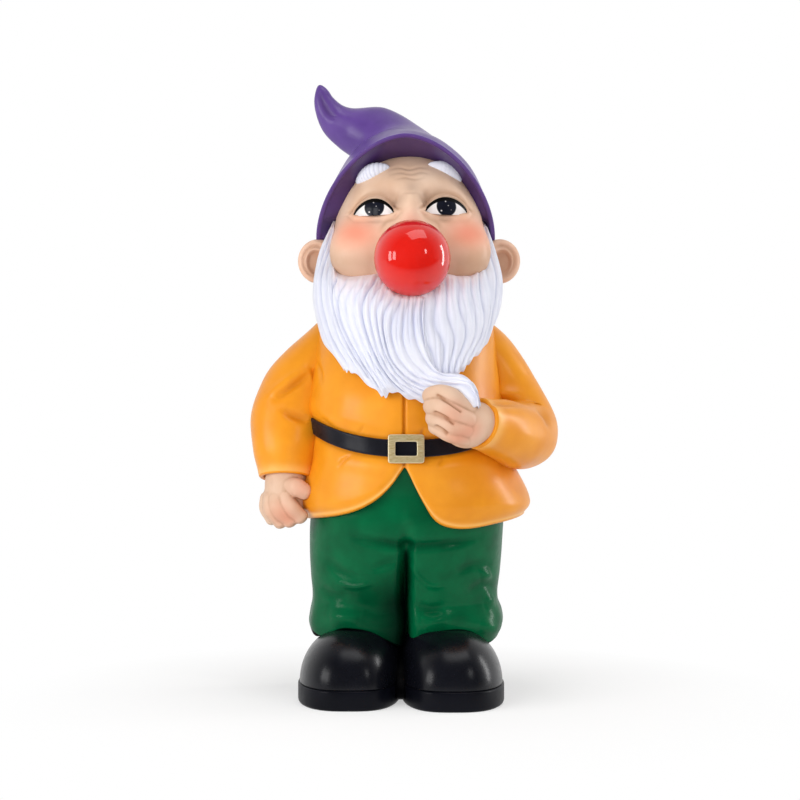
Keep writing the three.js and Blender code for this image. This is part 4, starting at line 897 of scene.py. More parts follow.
# %% Helpers for melted clay
def melted(skins, voxel_mm, smoothing):
    """The skins joined by a voxel remesh and smoothed, with the modifiers applied."""
    rough = bpy.data.objects.new("rough", mesh_of(*skins))
    bpy.context.scene.collection.objects.link(rough)
    remesh = rough.modifiers.new("melt", "REMESH")
    remesh.mode = "VOXEL"
    remesh.voxel_size = voxel_mm / 1000.0
    soft = rough.modifiers.new("soften", "SMOOTH")
    soft.factor = 0.5
    soft.iterations = smoothing
    mesh = bpy.data.meshes.new_from_object(rough.evaluated_get(bpy.context.evaluated_depsgraph_get()))
    bpy.data.objects.remove(rough)
    mesh.shade_smooth()
    return mesh


def all_of(collection, name, width, kind):
    """One property of all points or edges of a mesh, as rows of numbers."""
    flat = np.empty(width * len(collection), kind)
    collection.foreach_get(name, flat)
    return flat.reshape(-1, width)


def points_of(mesh):
    """All points of a mesh, in the figure's own millimetres."""
    return all_of(mesh.vertices, "co", 3, np.float32) * 1000.0 - SHIFT


def normals_of(mesh):
    """The normals of a mesh at its points."""
    return all_of(mesh.vertex_normals, "vector", 3, np.float32)


def hollowness(mesh, passes, full_mm=0.5):
    """From 0 to 1 how deep each point lies in a groove: how far the smoothed mean of its neighbours stands
    in front of it along its normal, where full_mm gives 1."""
    points = points_of(mesh)
    a, b = all_of(mesh.edges, "vertices", 2, np.int32).T
    summed = lambda at, values=None: np.bincount(at, values, len(points))
    count = summed(a) + summed(b)
    soft = points.copy()
    for _ in range(passes):
        total = np.stack([summed(a, soft[b, n]) + summed(b, soft[a, n]) for n in range(3)], axis=-1)
        soft = total / count[:, None]
    return np.clip(np.sum((soft - points) * normals_of(mesh), axis=-1) / full_mm, 0.0, 1.0)


print("helpers ready for", ", ".join(ARMS), "hands")

# %% Bones of the hands
# All places start from the end of the arm's path. Each digit has its thickness and its path; the grooves lie
# between knuckles in the front view of the whole figure.
HANDS = {
    "right": {
        "palm": (-0.8, -2, -11.5), "halves": (10.2, 8.2, 12),
        "blush": [(8, -12, -6), (-2, -10, -17), (3, -10, -20)], "grooves": [],
        "digits": [
            (1.10, [(0, -6, -4), (6.5, -10.5, -5.5), (12.5, -10, -9)]),
            (1.02, [(0, -7, -7), (2, -9.8, -13.3), (10, -7.5, -21.5)]),
            (1.02, [(-3.5, -6, -8), (-3.3, -9, -14.3), (5, -6.8, -23.5)]),
            (0.98, [(-6.5, -4, -8), (-6.8, -6.5, -15.2), (0, -5, -24.5)]),
            (0.90, [(-8.5, 0, -8), (-9.2, -2, -14.5), (-5, -1, -23.5)]),
        ],
    },
    "left": {
        "palm": (-5.5, -4, -0.5), "halves": (11.5, 8.8, 11),
        "blush": [(-3, -13, -3), (-12, -16, 5), (-10, -15, -7)],
        "grooves": [
            [(14.5, 146.1), (20.0, 142.8), (25.2, 139.0)], [(13.5, 138.4), (18.0, 136.2), (21.7, 133.6)],
            [(14.0, 132.1), (16.6, 130.6), (18.8, 128.8)],
        ],
        "digits": [
            (0.95, [(-3.5, 0, 6.5), (-9.5, -3, 10), (-14, -4, 11)]),
            (1.00, [(-3, -6, 5), (-6.2, -9.5, 8), (-12.5, -13, 12.2), (-17.7, -12.5, 14), (-22, -8.5, 12.9),
                    (-20.5, -4.5, 11)]),
            (1.05, [(-3, -8, 0.5), (-6.2, -11.5, 2.3), (-12.5, -14.5, 5.2), (-17.7, -14, 7.8),
                    (-21.5, -9.5, 8), (-20, -5, 7)]),
            (0.98, [(-4, -8, -3.5), (-7.3, -11.5, -2.4), (-12.5, -13.8, -1.4), (-17.2, -13, 1),
                    (-20.7, -9, 2.4), (-19.5, -5, 2)]),
            (0.90, [(-5, -6, -7.5), (-8, -9.5, -6.7), (-11.4, -11.5, -5.7), (-16.2, -11.5, -3.6),
                    (-19.8, -8, -1.6), (-19, -5, -1.5)]),
        ],
    },
}


for word, hand in HANDS.items():
    print("the", word, "hand has", len(hand["digits"]), "digits and", len(hand["grooves"]), "grooves")

# %% Hands
FINGER_RADIUS = 3.9
WRIST_RADII, WRIST_INSIDE = [10.0, 9.6], 7.0
RING_TILT = (0.2, 0.5, 1.0)
GROOVE_WIDTH, GROOVE_DEPTH = 0.7, 1.2


def digit(path, radius):
    """A limb whose two ends are rounded: the radius falls to nothing as a half circle over its last
    stretch."""
    share = np.linspace(0.0, 1.0, 60)
    length = np.linalg.norm(np.diff(path_run(share, path), axis=0), axis=1).sum()
    end = np.clip(np.minimum(share, 1 - share) * length / radius, 0.0, 1.0)
    knuckles = 1.0 + 0.06 * np.cos(share * FULL_TURN * 2.0)
    return limb(path, share, radius * knuckles * np.sqrt(1 - (1 - end) ** 2) + 0.02, 24, 60, RING_TILT)


def groove_wash(points, groove):
    """A bell of the distance in the front view from a smooth line through the groove's places, on front
    points only."""
    line = path_run(np.linspace(0.0, 1.0, 24), groove)
    gaps = np.linalg.norm(points[:, None, [0, 2]] - line, axis=-1).min(axis=1)
    return bell(gaps, GROOVE_WIDTH) * (points[:, 1] < points[:, 1].mean())


def hand_mesh(path, hand):
    """Wrist, palm and digits placed from the end of the arm, melted together, then blushed near the given
    places, given painted shade a little all over and more in the hollows, and pressed in along the grooves
    between the fingers, with painted shade in them."""
    cuff = np.array(path[-1], float)
    start = cuff + unit_of(np.array(path[-2]) - cuff) * WRIST_INSIDE
    palm = cuff + np.array(hand["palm"])
    wrist = limb([start, cuff, palm], [0, 1], WRIST_RADII, 32, 20, RING_TILT)
    skins = [skin(wrist), skin(ball_skin(palm, hand["halves"]))]
    skins += [skin(digit(cuff + np.array(bones), FINGER_RADIUS * thick)) for thick, bones in hand["digits"]]
    mesh = melted(skins, voxel_mm=0.5, smoothing=5)
    points = points_of(mesh)
    rosy = sum(bell(np.linalg.norm(points - cuff - np.array(spot), axis=-1), 5.5) for spot in hand["blush"])
    # Painted shade, a little all over and more in each hollow.
    wash = 0.14 + 0.86 * hollowness(mesh, passes=7)
    if hand["grooves"]:
        pressed = np.max([groove_wash(points, groove) for groove in hand["grooves"]], axis=0)
        sunk = points - GROOVE_DEPTH * normals_of(mesh) * pressed[:, None]
        mesh.vertices.foreach_set("co", into_frame(sunk).astype(np.float32).ravel())
        mesh.update()
        # Painted shade in the grooves between the fingers.
        wash = np.maximum(wash, 0.8 * pressed)
    write_marks(mesh, {"wash": np.clip(wash, 0.0, 1.0), "tint": np.clip(0.45 * rosy, 0.0, 1.0)})
    return mesh


for word, hand in HANDS.items():
    piece(word + "_hand", hand_mesh(ARMS[word]["path"], hand), SKIN_PAINT)

# %% [markdown]
# The head is an egg tilted up, and every part of the face is a soft lump or hollow on it: puffed cheeks,
# sunken sockets, the brow, the bridge of the nose. A surface given by its distance from one middle in every
# direction takes such lumps as simple sums, and its grid is drawn together towards the face, where the
# carving is fine.

# %% Forms of the head
HEAD = np.array([2.0, 0.0, 223.5])
HEAD_HALVES = {"wide": 36.5, "front": 40.0, "back": 36.0, "up": 45.0, "down": 50.0}
# Each lump has its place from the middle of the head, its spread and its height.
FACE_LUMPS = [
    ((-26.0, -28.0, -12.0), 12.0, 9.0), ((26.0, -28.0, -12.0), 12.0, 9.0),
    ((-16.8, -34.0, 11.0), 6.5, -4.5), ((16.8, -34.0, 11.0), 6.5, -4.5),
    ((-16.0, -30.0, 25.0), 8.0, 2.5), ((16.0, -30.0, 25.0), 8.0, 2.5),
    ((0.8, -39.0, 10.0), 4.2, 4.5), ((0.8, -37.0, 16.0), 3.6, 3.2), ((0.8, -39.0, 0.0), 7.0, 4.0),
    ((-8.5, -38.0, 1.5), 3.5, 1.6), ((9.5, -38.0, 1.5), 3.5, 1.6),
    ((-8.0, -36.0, 16.0), 3.4, -3.4), ((8.8, -36.0, 16.0), 3.4, -3.6),
    ((-31.0, -24.0, -6.0), 7.0, 2.8), ((33.0, -24.0, -6.0), 7.5, 4.0),
]
EYES = {
    "right": {"corners": ((-26.3, 8.9), (-7.4, 9.0)), "rise": 6.2, "sag": 0.5, "iris": (-16.6, 11.7)},
    "left": {"corners": ((7.4, 9.5), (27.7, 10.0)), "rise": 6.2, "sag": 0.9, "iris": (17.5, 12.2)},
}


def head_radius(unit):
    """Distance from the middle of the head along unit directions: an egg's, plus a bell for each lump of
    the face."""
    x, y, z = np.moveaxis(unit, -1, 0)
    depth = np.where(y < 0, HEAD_HALVES["front"], HEAD_HALVES["back"])
    height = np.where(z > 0, HEAD_HALVES["up"], HEAD_HALVES["down"])
    radius = 1.0 / np.sqrt((x / HEAD_HALVES["wide"]) ** 2 + (y / depth) ** 2 + (z / height) ** 2)
    points = unit * radius[..., None]
    return radius + sum(
        high * bell(np.linalg.norm(points - np.array(at), axis=-1), spread * np.sqrt(2.0))
        for at, spread, high in FACE_LUMPS
    )


def lids(eye, x):
    """Heights of the lower and the upper lid over x: a straight line between the corners, bowed down a
    little and arched up, both falling to nothing at the corners."""
    (x0, z0), (x1, z1) = eye["corners"]
    share = np.clip((x - x0) / (x1 - x0), 0.0, 1.0)
    line = z0 + (z1 - z0) * share
    arch = np.clip(1 - (2 * share - 1) ** 2, 0.0, 1.0)
    return line - eye["sag"] * arch, line + eye["rise"] * arch ** 0.75


def into_eye(eye, x, z):
    """How far a place lies inside the opening between the lids, in millimetres; outside it is negative."""
    (x0, _), (x1, _) = eye["corners"]
    lower, upper = lids(eye, x)
    beyond = np.maximum(0.0, np.maximum(x0 - x, x - x1))
    return np.minimum(z - lower, upper - z) - beyond


lower, upper = lids(EYES["right"], np.array(EYES["right"]["iris"][0]))
print("the right lids are open by", round(float(upper - lower), 1), "mm")

# %% Strokes and colours of the face
# Each kind's darkening is painted shade in its cut.
FACE_STROKES = {
    "wrinkles": {"width": 0.6, "height": -0.4, "wash": 0.15, "lines": [
        [(-9.5, 30.5), (-5.0, 31.4), (0.0, 30.4), (5.0, 31.6), (9.0, 31.0)],
        [(-9.0, 27.8), (-4.5, 28.8), (0.5, 27.9), (5.5, 29.0), (9.5, 28.2)],
        [(-6.5, 25.4), (-2.0, 26.2), (2.5, 25.4), (7.0, 26.3)],
        [(-4.0, 18.4), (0.5, 18.0), (4.8, 18.4)],
    ]},
    "creases beside the nose": {"width": 1.2, "height": -0.8, "wash": 0.35, "lines": [
        [(-4.6, 8.0), (-7.5, 5.8), (-11.5, 4.5), (-13.5, 0.5)],
        [(6.2, 8.2), (9.0, 6.2), (13.0, 4.6), (15.0, 0.5)],
    ]},
}
# Spots of colour have a middle in x and z, a stretch in x and in z, a width and a strength. The socket
# spots are painted shade below the brows and beside the bridge of the nose; the blush spots are the face's
# own red.
SOCKET_SHADE_SPOTS = [
    (-13.5, 18.5, 1.5, 1.0, 4.5, 1.0), (15.0, 18.5, 1.5, 1.0, 4.5, 1.0),
    (-6.6, 15.5, 1.0, 1.6, 2.6, 0.8), (7.4, 15.5, 1.0, 1.6, 2.6, 0.8),
]
BLUSH_SPOTS = [
    (-25.5, -0.5, 1.0, 0.7, 11.0, 1.0), (28.0, -0.5, 1.0, 0.7, 11.0, 1.0),
    (0.8, 1.0, 1.0, 1.0, 7.0, 0.35),
]


def spots(table, x, z):
    """The sum of soft spots of colour in the front view: a strength times the bell of the stretched
    distance."""
    return sum(
        strength * bell(np.hypot((x - at_x) / wide, (z - at_z) / high), width)
        for at_x, at_z, wide, high, width, strength in table
    )


print("red of the middle of the right cheek:", round(float(spots(BLUSH_SPOTS, -25.5, -0.5)), 2))

# %% Head and ears
EAR_AT, EAR_HALVES = np.array([44.6, 3.0, -11.0]), np.array([10.25, 4.5, 11.0])
EAR_LEAN = np.radians(8.0)
# How strongly the grid's turns and falls are drawn together towards the face.
FACE_TURN_PULL, FACE_FALL_PULL = 0.5, 0.22


def head_skin():
    """The egg with its lumps; lids, wrinkles and creases are added along the same directions. Each lid is a
    roll round the opening, with a groove above or below it and the opening sunk behind it."""
    turn, fall = turns(380), falls(208)
    unit = directions(fall + FACE_FALL_PULL * np.sin(2 * fall), turn - FACE_TURN_PULL * np.sin(turn))
    bare = unit * head_radius(unit)[..., None]
    x, z = bare[..., 0], bare[..., 2]
    front = gentle(-bare[..., 1] / 12.0)
    lift, wash = carved(bare, FACE_STROKES)
    for eye in EYES.values():
        inside = into_eye(eye, x, z)
        above = gentle((z - lids(eye, x)[0]) / 2.0)
        roll = bell(inside + 0.9, 1.0) * (0.6 + 0.5 * above)
        sunk = 2.4 * gentle(inside / 0.9 + 0.3)
        grooves = 0.7 * bell(inside + 3.4, 1.0) * above + 0.5 * bell(inside + 3.2, 1.2) * (1 - above)
        lift += roll - sunk - grooves
        # Painted shade in the grooves round the lids and just inside the opening.
        lid_wash = 0.5 * bell(inside + 3.4, 1.3) * above + 0.35 * bell(inside + 0.2, 0.8)
        wash = np.maximum(wash, lid_wash)
    # Painted shade under the cheeks and in the sockets.
    cheek_shade = gentle((-4.0 - z) / 12.0) * gentle((np.abs(x) - 12.0) / 8.0)
    wash = np.maximum.reduce([wash, 0.36 * spots(SOCKET_SHADE_SPOTS, x, z), 0.4 * cheek_shade])
    grid = HEAD + bare + unit * (lift * front)[..., None]
    return skin(grid, wash=wash * front, tint=0.9 * spots(BLUSH_SPOTS, x, z) * front)


def ear_skin(side):
    """An egg pressed in at its front by the distance from its middle: a rolled rim, a furrow inside it and
    a bowl. It leans outwards."""
    grid = ball_skin(0.0, 1.0, 90, 110)[..., [0, 2, 1]]
    out, up = grid[..., 0] * side, grid[..., 2]
    facing = gentle(-grid[..., 1] * 3.0)
    furrow = bell(np.hypot(out * 1.05 - 0.06, up) - 0.68, 0.11) * gentle((out + 0.5) * 2.0)
    bowl = gentle((0.52 - np.hypot(out - 0.12, (up + 0.05) * 0.8)) / 0.2)
    x, y, z = np.moveaxis(grid * EAR_HALVES, -1, 0)
    y = y + (1.3 * furrow + 3.4 * bowl) * facing
    sine, cosine = np.sin(EAR_LEAN * side), np.cos(EAR_LEAN)
    turned = np.stack([x * cosine + z * sine, y, z * cosine - x * sine], axis=-1)
    grid = HEAD + EAR_AT * np.array([side, 1, 1]) + turned
    # Painted shade in the furrow and the bowl.
    return skin(grid, wash=(0.4 * furrow + 0.45 * bowl) * facing, tint=0.15 * facing)


head_surface = head_skin()
piece("head", mesh_of(head_surface, ear_skin(-1), ear_skin(1)), SKIN_PAINT)

# %% [markdown]
# Each eye is a shallow glossy half-moon set behind the lids, painted white, with a dark iris that touches
# the upper lid, a few white specks painted in it as glints, and a thin black line along the lid. The marks
# carry that painting: the darker mark is the black line and painted shade in the corners, and tint the
# iris, worked out on a fine grid straight from the distances to the lids and to the iris.

# %% Paint of the eyes
def eye_paint():
    """Gloss enamel: white, with painted shade towards the corners, and the iris and the lid line painted over
    it.
    """
    material, tree, place = blank("gloss_enamel_on_resin_eye")
    cloud = noise(tree, place, 4.0, 2.0)
    white, dark = mixed(tree, cloud, "#F2EEEC", "#DFD8D6"), mixed(tree, cloud, "#0D0E16", "#191C2A")
    colour = mixed(tree, mark_of(tree, "tint"), white, dark)
    shaded(tree, {
        "Base Color": mixed(tree, mark_of(tree, "wash"), colour, "#0B0908"), "Roughness": 0.3, "IOR": 1.5,
        "Specular IOR Level": 0.08, "Coat Weight": 0.12, "Coat Roughness": 0.05,
    })
    return material


EYE_PAINT = eye_paint()
print("mixed", EYE_PAINT.name)

# %% Eyes
FAR_AWAY = 1e6
IRIS_RADIUS, IRIS_EDGE, SOFT_EDGE, LID_LINE = 4.9, 0.35, 0.3, 1.25
# Each painted glint is a white speck with its place from the middle of the iris and its size.
PAINTED_GLINTS = [(-0.4, 2.3, 0.42), (0.9, 0.4, 0.32), (-2.4, -2.2, 0.5), (2.3, -1.6, 0.25)]
FRONT_ROWS, BACK_ROWS = 90, 28
BEHIND_LID_X, BEHIND_LID_Z = 0.3, 0.7
EYE_SWELL, EYE_SUNK, EYE_THICK = 3.1, 0.9, 2.5


def face_depth(x, z):
    """Depth of the face's surface at a place of the front view: that of the nearest point of the head's
    grid, where points behind the middle count as far away."""
    places = head_surface["grid"] - HEAD
    gaps = (places[..., 0] - x) ** 2 + (places[..., 2] - z) ** 2 + np.where(places[..., 1] < 0, 0.0, FAR_AWAY)
    return places[np.unravel_index(gaps.argmin(), gaps.shape)][1]


def eye_mesh(eye):
    """A lens: columns run up the front from the lower to the upper lid and down the back, ring by ring
    across. It lies in the plane through the corners and swells towards the viewer."""
    (x0, z0), (x1, z1) = eye["corners"]
    iris_x, iris_z = eye["iris"]
    along = 0.5 - 0.5 * np.cos(np.pi * (0.03 + 0.94 * shares(170)))
    x = x0 - BEHIND_LID_X + (x1 - x0 + 2 * BEHIND_LID_X) * along
    lower, upper = lids(eye, x)
    around = np.concatenate([np.linspace(0, 1, FRONT_ROWS), np.linspace(1, 0, BACK_ROWS + 2)[1:-1]])
    back = np.arange(len(around)) >= FRONT_ROWS
    z = lower - BEHIND_LID_Z + (upper - lower + 2 * BEHIND_LID_Z) * around
    plane = face_depth(x0, z0) + (face_depth(x1, z1) - face_depth(x0, z0)) * (x - x0) / (x1 - x0)
    round_off = ((x - (x0 + x1) / 2) / 11.0) ** 2 + ((z - iris_z + 1.5) / 10.0) ** 2
    y = plane - EYE_SWELL * np.clip(1 - round_off, 0.0, 1.0) + EYE_SUNK + EYE_THICK * back
    iris = gentle((IRIS_RADIUS - np.hypot(x - iris_x, z - iris_z)) / IRIS_EDGE)
    for dx, dz, size in PAINTED_GLINTS:
        iris = iris * (1 - 0.9 * gentle((size - np.hypot(x - iris_x - dx, z - iris_z - dz)) / SOFT_EDGE))
    line = gentle((z - upper + LID_LINE) / SOFT_EDGE)
    # Painted shade at the corners of the eye.
    corner = 0.25 * bell(np.minimum(x - x0, x1 - x), 2.0)
    grid = HEAD + np.stack(np.broadcast_arrays(x, y, z), axis=-1)
    return mesh_of(skin(grid, tint=iris, wash=np.maximum(line, corner)))


for word, eye in EYES.items():
    piece(word + "_eye", eye_mesh(eye), EYE_PAINT)

# %% [markdown]
# The eyebrows are white leaf-shaped tufts. Each is a flattened limb along the brow, thick in the middle; on
# the gnome's right one the tufts are cut deep, and the left one was rubbed smoother in the mould.

# %% Eyebrows
EYEBROWS = {
    "right": {"path": [(-9.5, 31.8), (-17.0, 29.8), (-25.5, 25.2)], "thick": 3.0, "cut": 0.28},
    "left": {"path": [(9.0, 33.2), (17.0, 30.9), (25.0, 26.0)], "thick": 2.7, "cut": 0.06},
}
TUFTS, TUFT_SLANT, BROW_PROUD = 11.0, 1.4, 0.4


def eyebrow_mesh(brow):
    """Rings along the brow: half-height and half-depth are a half circle along it, cut by slanting
    tufts."""
    path = np.array([(x, face_depth(x, z) - BROW_PROUD, z) for x, z in brow["path"]]) + HEAD
    share = np.linspace(0.0, 1.0, 110)
    leaf = np.sqrt(np.clip(1 - (2 * share - 1) ** 2, 0.0, 1.0)) * (0.85 + 0.25 * np.sin(np.pi * share))
    grid = limb(path, share, brow["thick"] * leaf + 0.02, 90, 110, (0.0, 0.0, 1.0), flat=1.25)
    wave = np.cos(FULL_TURN * TUFTS * share[:, None] + TUFT_SLANT * np.sin(turns(90)))
    cut = brow["cut"] * np.clip(-wave, 0.0, 1.0) ** 2 * leaf[:, None]
    # The cuts between the tufts get painted shade.
    return mesh_of(skin(raised(grid, -cut), wash=cut))


for word, brow in EYEBROWS.items():
    piece(word + "_eyebrow", eyebrow_mesh(brow), HAIR_PAINT)

# %% [markdown]
# The ball in the middle of the face is the glossiest part: bright red enamel under a thick, clear varnish,
# so lamps show in it as sharp streaks. It is a sphere with the faint unevenness of a dipped coat.

# %% Ball
BALL_LACQUER = 0.5


def ball_paint():
    """Red enamel under thick varnish: a smooth body colour, a hard clear coat with almost no roughness."""
    material, tree, place = blank("red_gloss_enamel_on_resin")
    ripple = noise(tree, place, 6.0, 1.0)
    bump = node(tree, "Bump", {"Height": ripple, "Strength": 0.15, "Distance": 0.0002})
    shaded(tree, {
        "Base Color": mixed(tree, noise(tree, place, 12.0, 2.0), "#DE2015", "#D01811"),
        "Roughness": 0.35, "IOR": 1.5, "Specular IOR Level": 0.05, "Normal": bump,
        "Coat Weight": 1.0, "Coat Roughness": 0.03, "Coat Normal": bump,
    })
    return material


ball_grid = ball_skin(BALL_MIDDLE, BALL_RADIUS + BALL_LACQUER, 120, 180)
piece("nose_ball", mesh_of(skin(ball_grid)), ball_paint())

# %% [markdown]
# The beard is one thick mass of hair. Its strands fan out from the cheeks and the ball, and those of the
# middle sweep to the viewer's right into a tail that the left fist holds; the rest hang straight behind it.
# A few guide strands, drawn one by one, give the flow, and a smooth run between them makes a sheet whose
# lines all follow it. So grooves that are plain waves across the sheet come out as long, bent strands.

# %% Guide strands of the beard
SWEPT_GUIDES = [
    [(-36.5, 229), (-41.5, 217), (-43.8, 205), (-44.3, 192), (-42, 181), (-38.6, 170.8), (-33.5, 164.7),
     (-28.5, 157.5)],
    [(-34.8, 233), (-38.6, 218), (-41, 204), (-41, 190), (-38, 178), (-33.5, 168), (-29, 161), (-27, 156.3)],
    [(-33.2, 229), (-35.8, 215), (-37.2, 203), (-36.8, 190), (-33.5, 177), (-28.5, 167), (-25, 160.5),
     (-23.5, 155.3)],
    [(-33, 209), (-34.6, 199), (-33.5, 189), (-30, 177), (-24, 165), (-18.5, 156.5), (-12.7, 146.8)],
    [(-27, 203.5), (-29.5, 194), (-28.5, 186), (-24.5, 173), (-18.5, 161), (-13, 152), (-9.1, 144.4)],
    [(-19, 204), (-22.5, 193), (-22.5, 183), (-19, 170), (-13.5, 159), (-9, 152), (-5.2, 146.9)],
    [(-12, 205), (-17, 190), (-16.8, 178), (-13.5, 166), (-8.5, 156), (-3, 149), (4, 143.2)],
    [(-8, 201), (-12.5, 186), (-12, 174), (-8.5, 162.5), (-2.5, 153.5), (5, 147.5), (13, 142.3)],
    [(-3.5, 196), (-8.3, 181), (-8.2, 171), (-4.3, 160), (4.5, 151.8), (14.5, 147.5), (24, 144)],
    [(1.1, 195), (-1, 180.3), (-1.6, 170.8), (1.1, 162), (8, 154.6), (18, 151.8), (27, 149.8), (31, 144.4),
     (32.3, 139.7)],
    [(5.8, 195), (5.1, 180.3), (6.5, 168), (11.3, 158.6), (18, 155), (24.8, 154.5), (30.2, 151), (33.2, 145),
     (33.8, 140.5)],
    [(10, 195), (9.2, 180.3), (10.6, 168), (13.3, 160), (16.5, 156.8), (22, 156.3), (27, 155.2),
     (31.5, 150.5), (34.6, 141)],
]
HANGING_GUIDES = [
    [(6, 195), (6, 180), (8, 168), (11, 159), (14, 151)],
    [(13, 200), (15.5, 182), (16.5, 170.5), (17.5, 161), (19, 152.5)],
    [(19, 205), (23, 187), (23.8, 172), (23, 162), (22.7, 153.5)],
    [(27, 204), (31, 189), (31.5, 175.5), (29.5, 166), (27, 157)],
    [(34, 208), (37, 194), (37.5, 180), (35, 169.5), (31, 162)],
    [(37.5, 231), (40.5, 215), (42.3, 202), (42, 189), (40.5, 177), (37.5, 168.5)],
    [(39.5, 231), (44, 217), (46.8, 203), (46.2, 192), (44.5, 185), (42.5, 180)],
]
print(len(SWEPT_GUIDES) + len(HANGING_GUIDES), "guide strands")

# %% Flow of the beard
BEARD_Z = [138, 150, 160, 170, 180, 190, 200, 210, 222, 236]
BEARD_FRONT = [56.5, 58.5, 60, 60, 59, 56, 46, 28, 14, 4]
BEARD_SIDE = [46, 46, 46, 46.5, 47.5, 48.5, 49, 48.5, 46.5, 43.5]
BEARD_POWER, BEARD_REACH = 2.4, 0.995
TAIL_X, TAIL_Y = [3.5, 17.0, 25.0, 36.0], [-60.0, -64.0, -68.0, -69.5]
TAIL_TOP, TAIL_BLEND = 164.0, 12.0
ROOT_TUCK, TIP_TUCK = 6.0, 2.5


def beard_depth(x, z, held=0.0):
    """Depth of the beard's surface in the front view: a rounded section at each height. Held hair leaves it
    for the tail, a run over x that lies on the fist."""
    front, wide = smooth_run(z, BEARD_Z, BEARD_FRONT), smooth_run(z, BEARD_Z, BEARD_SIDE)
    across = np.clip(np.abs(x - HEAD[0]) / wide, 0.0, BEARD_REACH)
    body = -front * (1 - across ** BEARD_POWER) ** (1 / BEARD_POWER)
    leave = held * gentle((x - TAIL_X[0]) / TAIL_BLEND) * gentle((TAIL_TOP - z) / TAIL_BLEND)
    return body + (smooth_run(x, TAIL_X, TAIL_Y) - body) * leave


def there_and_back(rows):
    """Round a strand of hair as one row: which points are on its front, and their share from the root
    down."""
    round_way = (np.arange(2 * rows)[None, :] + 0.5) / rows
    front = round_way < 1
    return front, np.where(front, round_way, 2 - round_way)


def hair_sheet(guides, rings, rows, lift, depth, held):
    """A sheet through guide strands: shares across run from guide to guide and shares down run along them.
    Each ring goes down the front, lifted, and back up inside, sunk by a depth; both die out at the sheet's
    own edges, and roots and tips are tucked in."""
    across = shares(rings)
    front, down = there_and_back(rows)
    strands = np.stack([path_run(down[0], guide) for guide in guides])
    x, z = np.moveaxis(smooth_run(across[:, 0], np.linspace(0, 1, len(guides)), strands), -1, 0)
    edge = 0.06 + 0.94 * gentle(np.minimum(across / 0.05, (1 - across) / 0.02))
    ends = gentle(np.minimum(down / 0.1, (1 - down) / 0.05))
    tucked = ROOT_TUCK * (1 - gentle(down / 0.06)) + TIP_TUCK * gentle((down - 0.93) / 0.07)
    thick = np.where(front, -lift * edge, depth * edge * ends)
    grid = np.stack([x, beard_depth(x, z, held) + tucked + thick, z], axis=-1)
    return grid, across, down, front * edge


def strand_cuts(across, down, count, sway, sharp, seed):
    """Grooves between strands, from 0 on a strand's back to 1 in a groove: one less the sine of the share
    across times a count, to a power, swayed by slow waves along the strands. Every groove has its own
    seeded depth."""
    draw = np.random.default_rng(seed)
    drift = sum(
        sway / n * np.sin(FULL_TURN * (0.6 * n * down + draw.uniform()) + draw.uniform(1, 3) * across)
        for n in (1, 2, 3)
    )
    lane = across * count + drift
    strength = draw.uniform(0.5, 1.0, count + 12)[np.clip(np.round(lane) + 4, 0, count + 11).astype(int)]
    return strength * (1 - np.abs(np.sin(np.pi * lane))) ** sharp, lane


print("the chin's hair stands", -round(float(beard_depth(2.0, 180.0))), "mm forward")

# %% Beard
BEARD_THICK = 9.0


def beard_skin(guides, rings, rows, lift, counts, deep, seed, held):
    """A sheet with round locks, strands and hairs cut into its front. Strands fade in and out along their
    length, and locks end one a little longer than the next. Painted shade darkens the grooves and, as the
    ball's painted shadow, the hair below the ball; the roots next to the skin get a pink painted shade."""
    grid, across, down, front = hair_sheet(guides, rings, rows, lift, BEARD_THICK, held)
    locks, lane = strand_cuts(across, down, counts[0], sway=0.45, sharp=1.0, seed=seed)
    strands, _ = strand_cuts(across, down, counts[1], sway=0.6, sharp=1.1, seed=seed + 1)
    hairs, _ = strand_cuts(across, down, counts[2], sway=0.7, sharp=1.4, seed=seed + 2)
    body = gentle(down / 0.1) * gentle((1 - down) / 0.08) * front
    strands = strands * np.clip(0.65 + 1.1 * slow_waves(grid, length=26.0, seed=seed + 3), 0.1, 1.0)
    grid = raised(grid, -(deep * locks + 0.55 * strands + 0.12 * hairs) * body)
    grid[..., 2] += 1.2 * np.cos(np.pi * lane) ** 2 * gentle((down - 0.7) / 0.3)
    # The ball's shadow on the beard, painted: a bell round a place below the ball.
    ball_shadow = bell(np.hypot(grid[..., 0] - BALL_MIDDLE[0], grid[..., 2] - 182.0), 13.0)
    wash = (0.6 * locks ** 2 + 0.25 * strands + 0.22 * ball_shadow) * body
    # A pink painted shade at the roots, next to the skin.
    return skin(grid, "zip", wash=wash, tint=0.4 * gentle((0.2 - down) / 0.16) * front)


swept = beard_skin(SWEPT_GUIDES, 360, 84, lift=2.6, counts=(15, 30, 96), deep=1.7, seed=21, held=1.0)
straight = beard_skin(HANGING_GUIDES, 200, 64, lift=1.4, counts=(8, 18, 52), deep=1.2, seed=61, held=0.0)
piece("beard", mesh_of(swept, straight), HAIR_PAINT)

# %% [markdown]
# Behind the ears the hair goes round the nape under the hat. It is the same kind of sheet as the beard,
# shorter and cut with plain strands.

# %% Hair over the nape
HAIR_TOP = [(-38, 4, 2), (-35, 20, -6), (-23, 33, -13), (0, 37, -16), (23, 33, -13), (35, 20, -6), (38, 4, 2)]
HAIR_BOTTOM = [
    (-42, 3, -22), (-40, 20, -28), (-26, 32, -32), (0, 36, -33), (26, 32, -32), (40, 20, -28), (42, 3, -22),
]
HAIR_SWELL, HAIR_SUNK = 3.0, 9.0


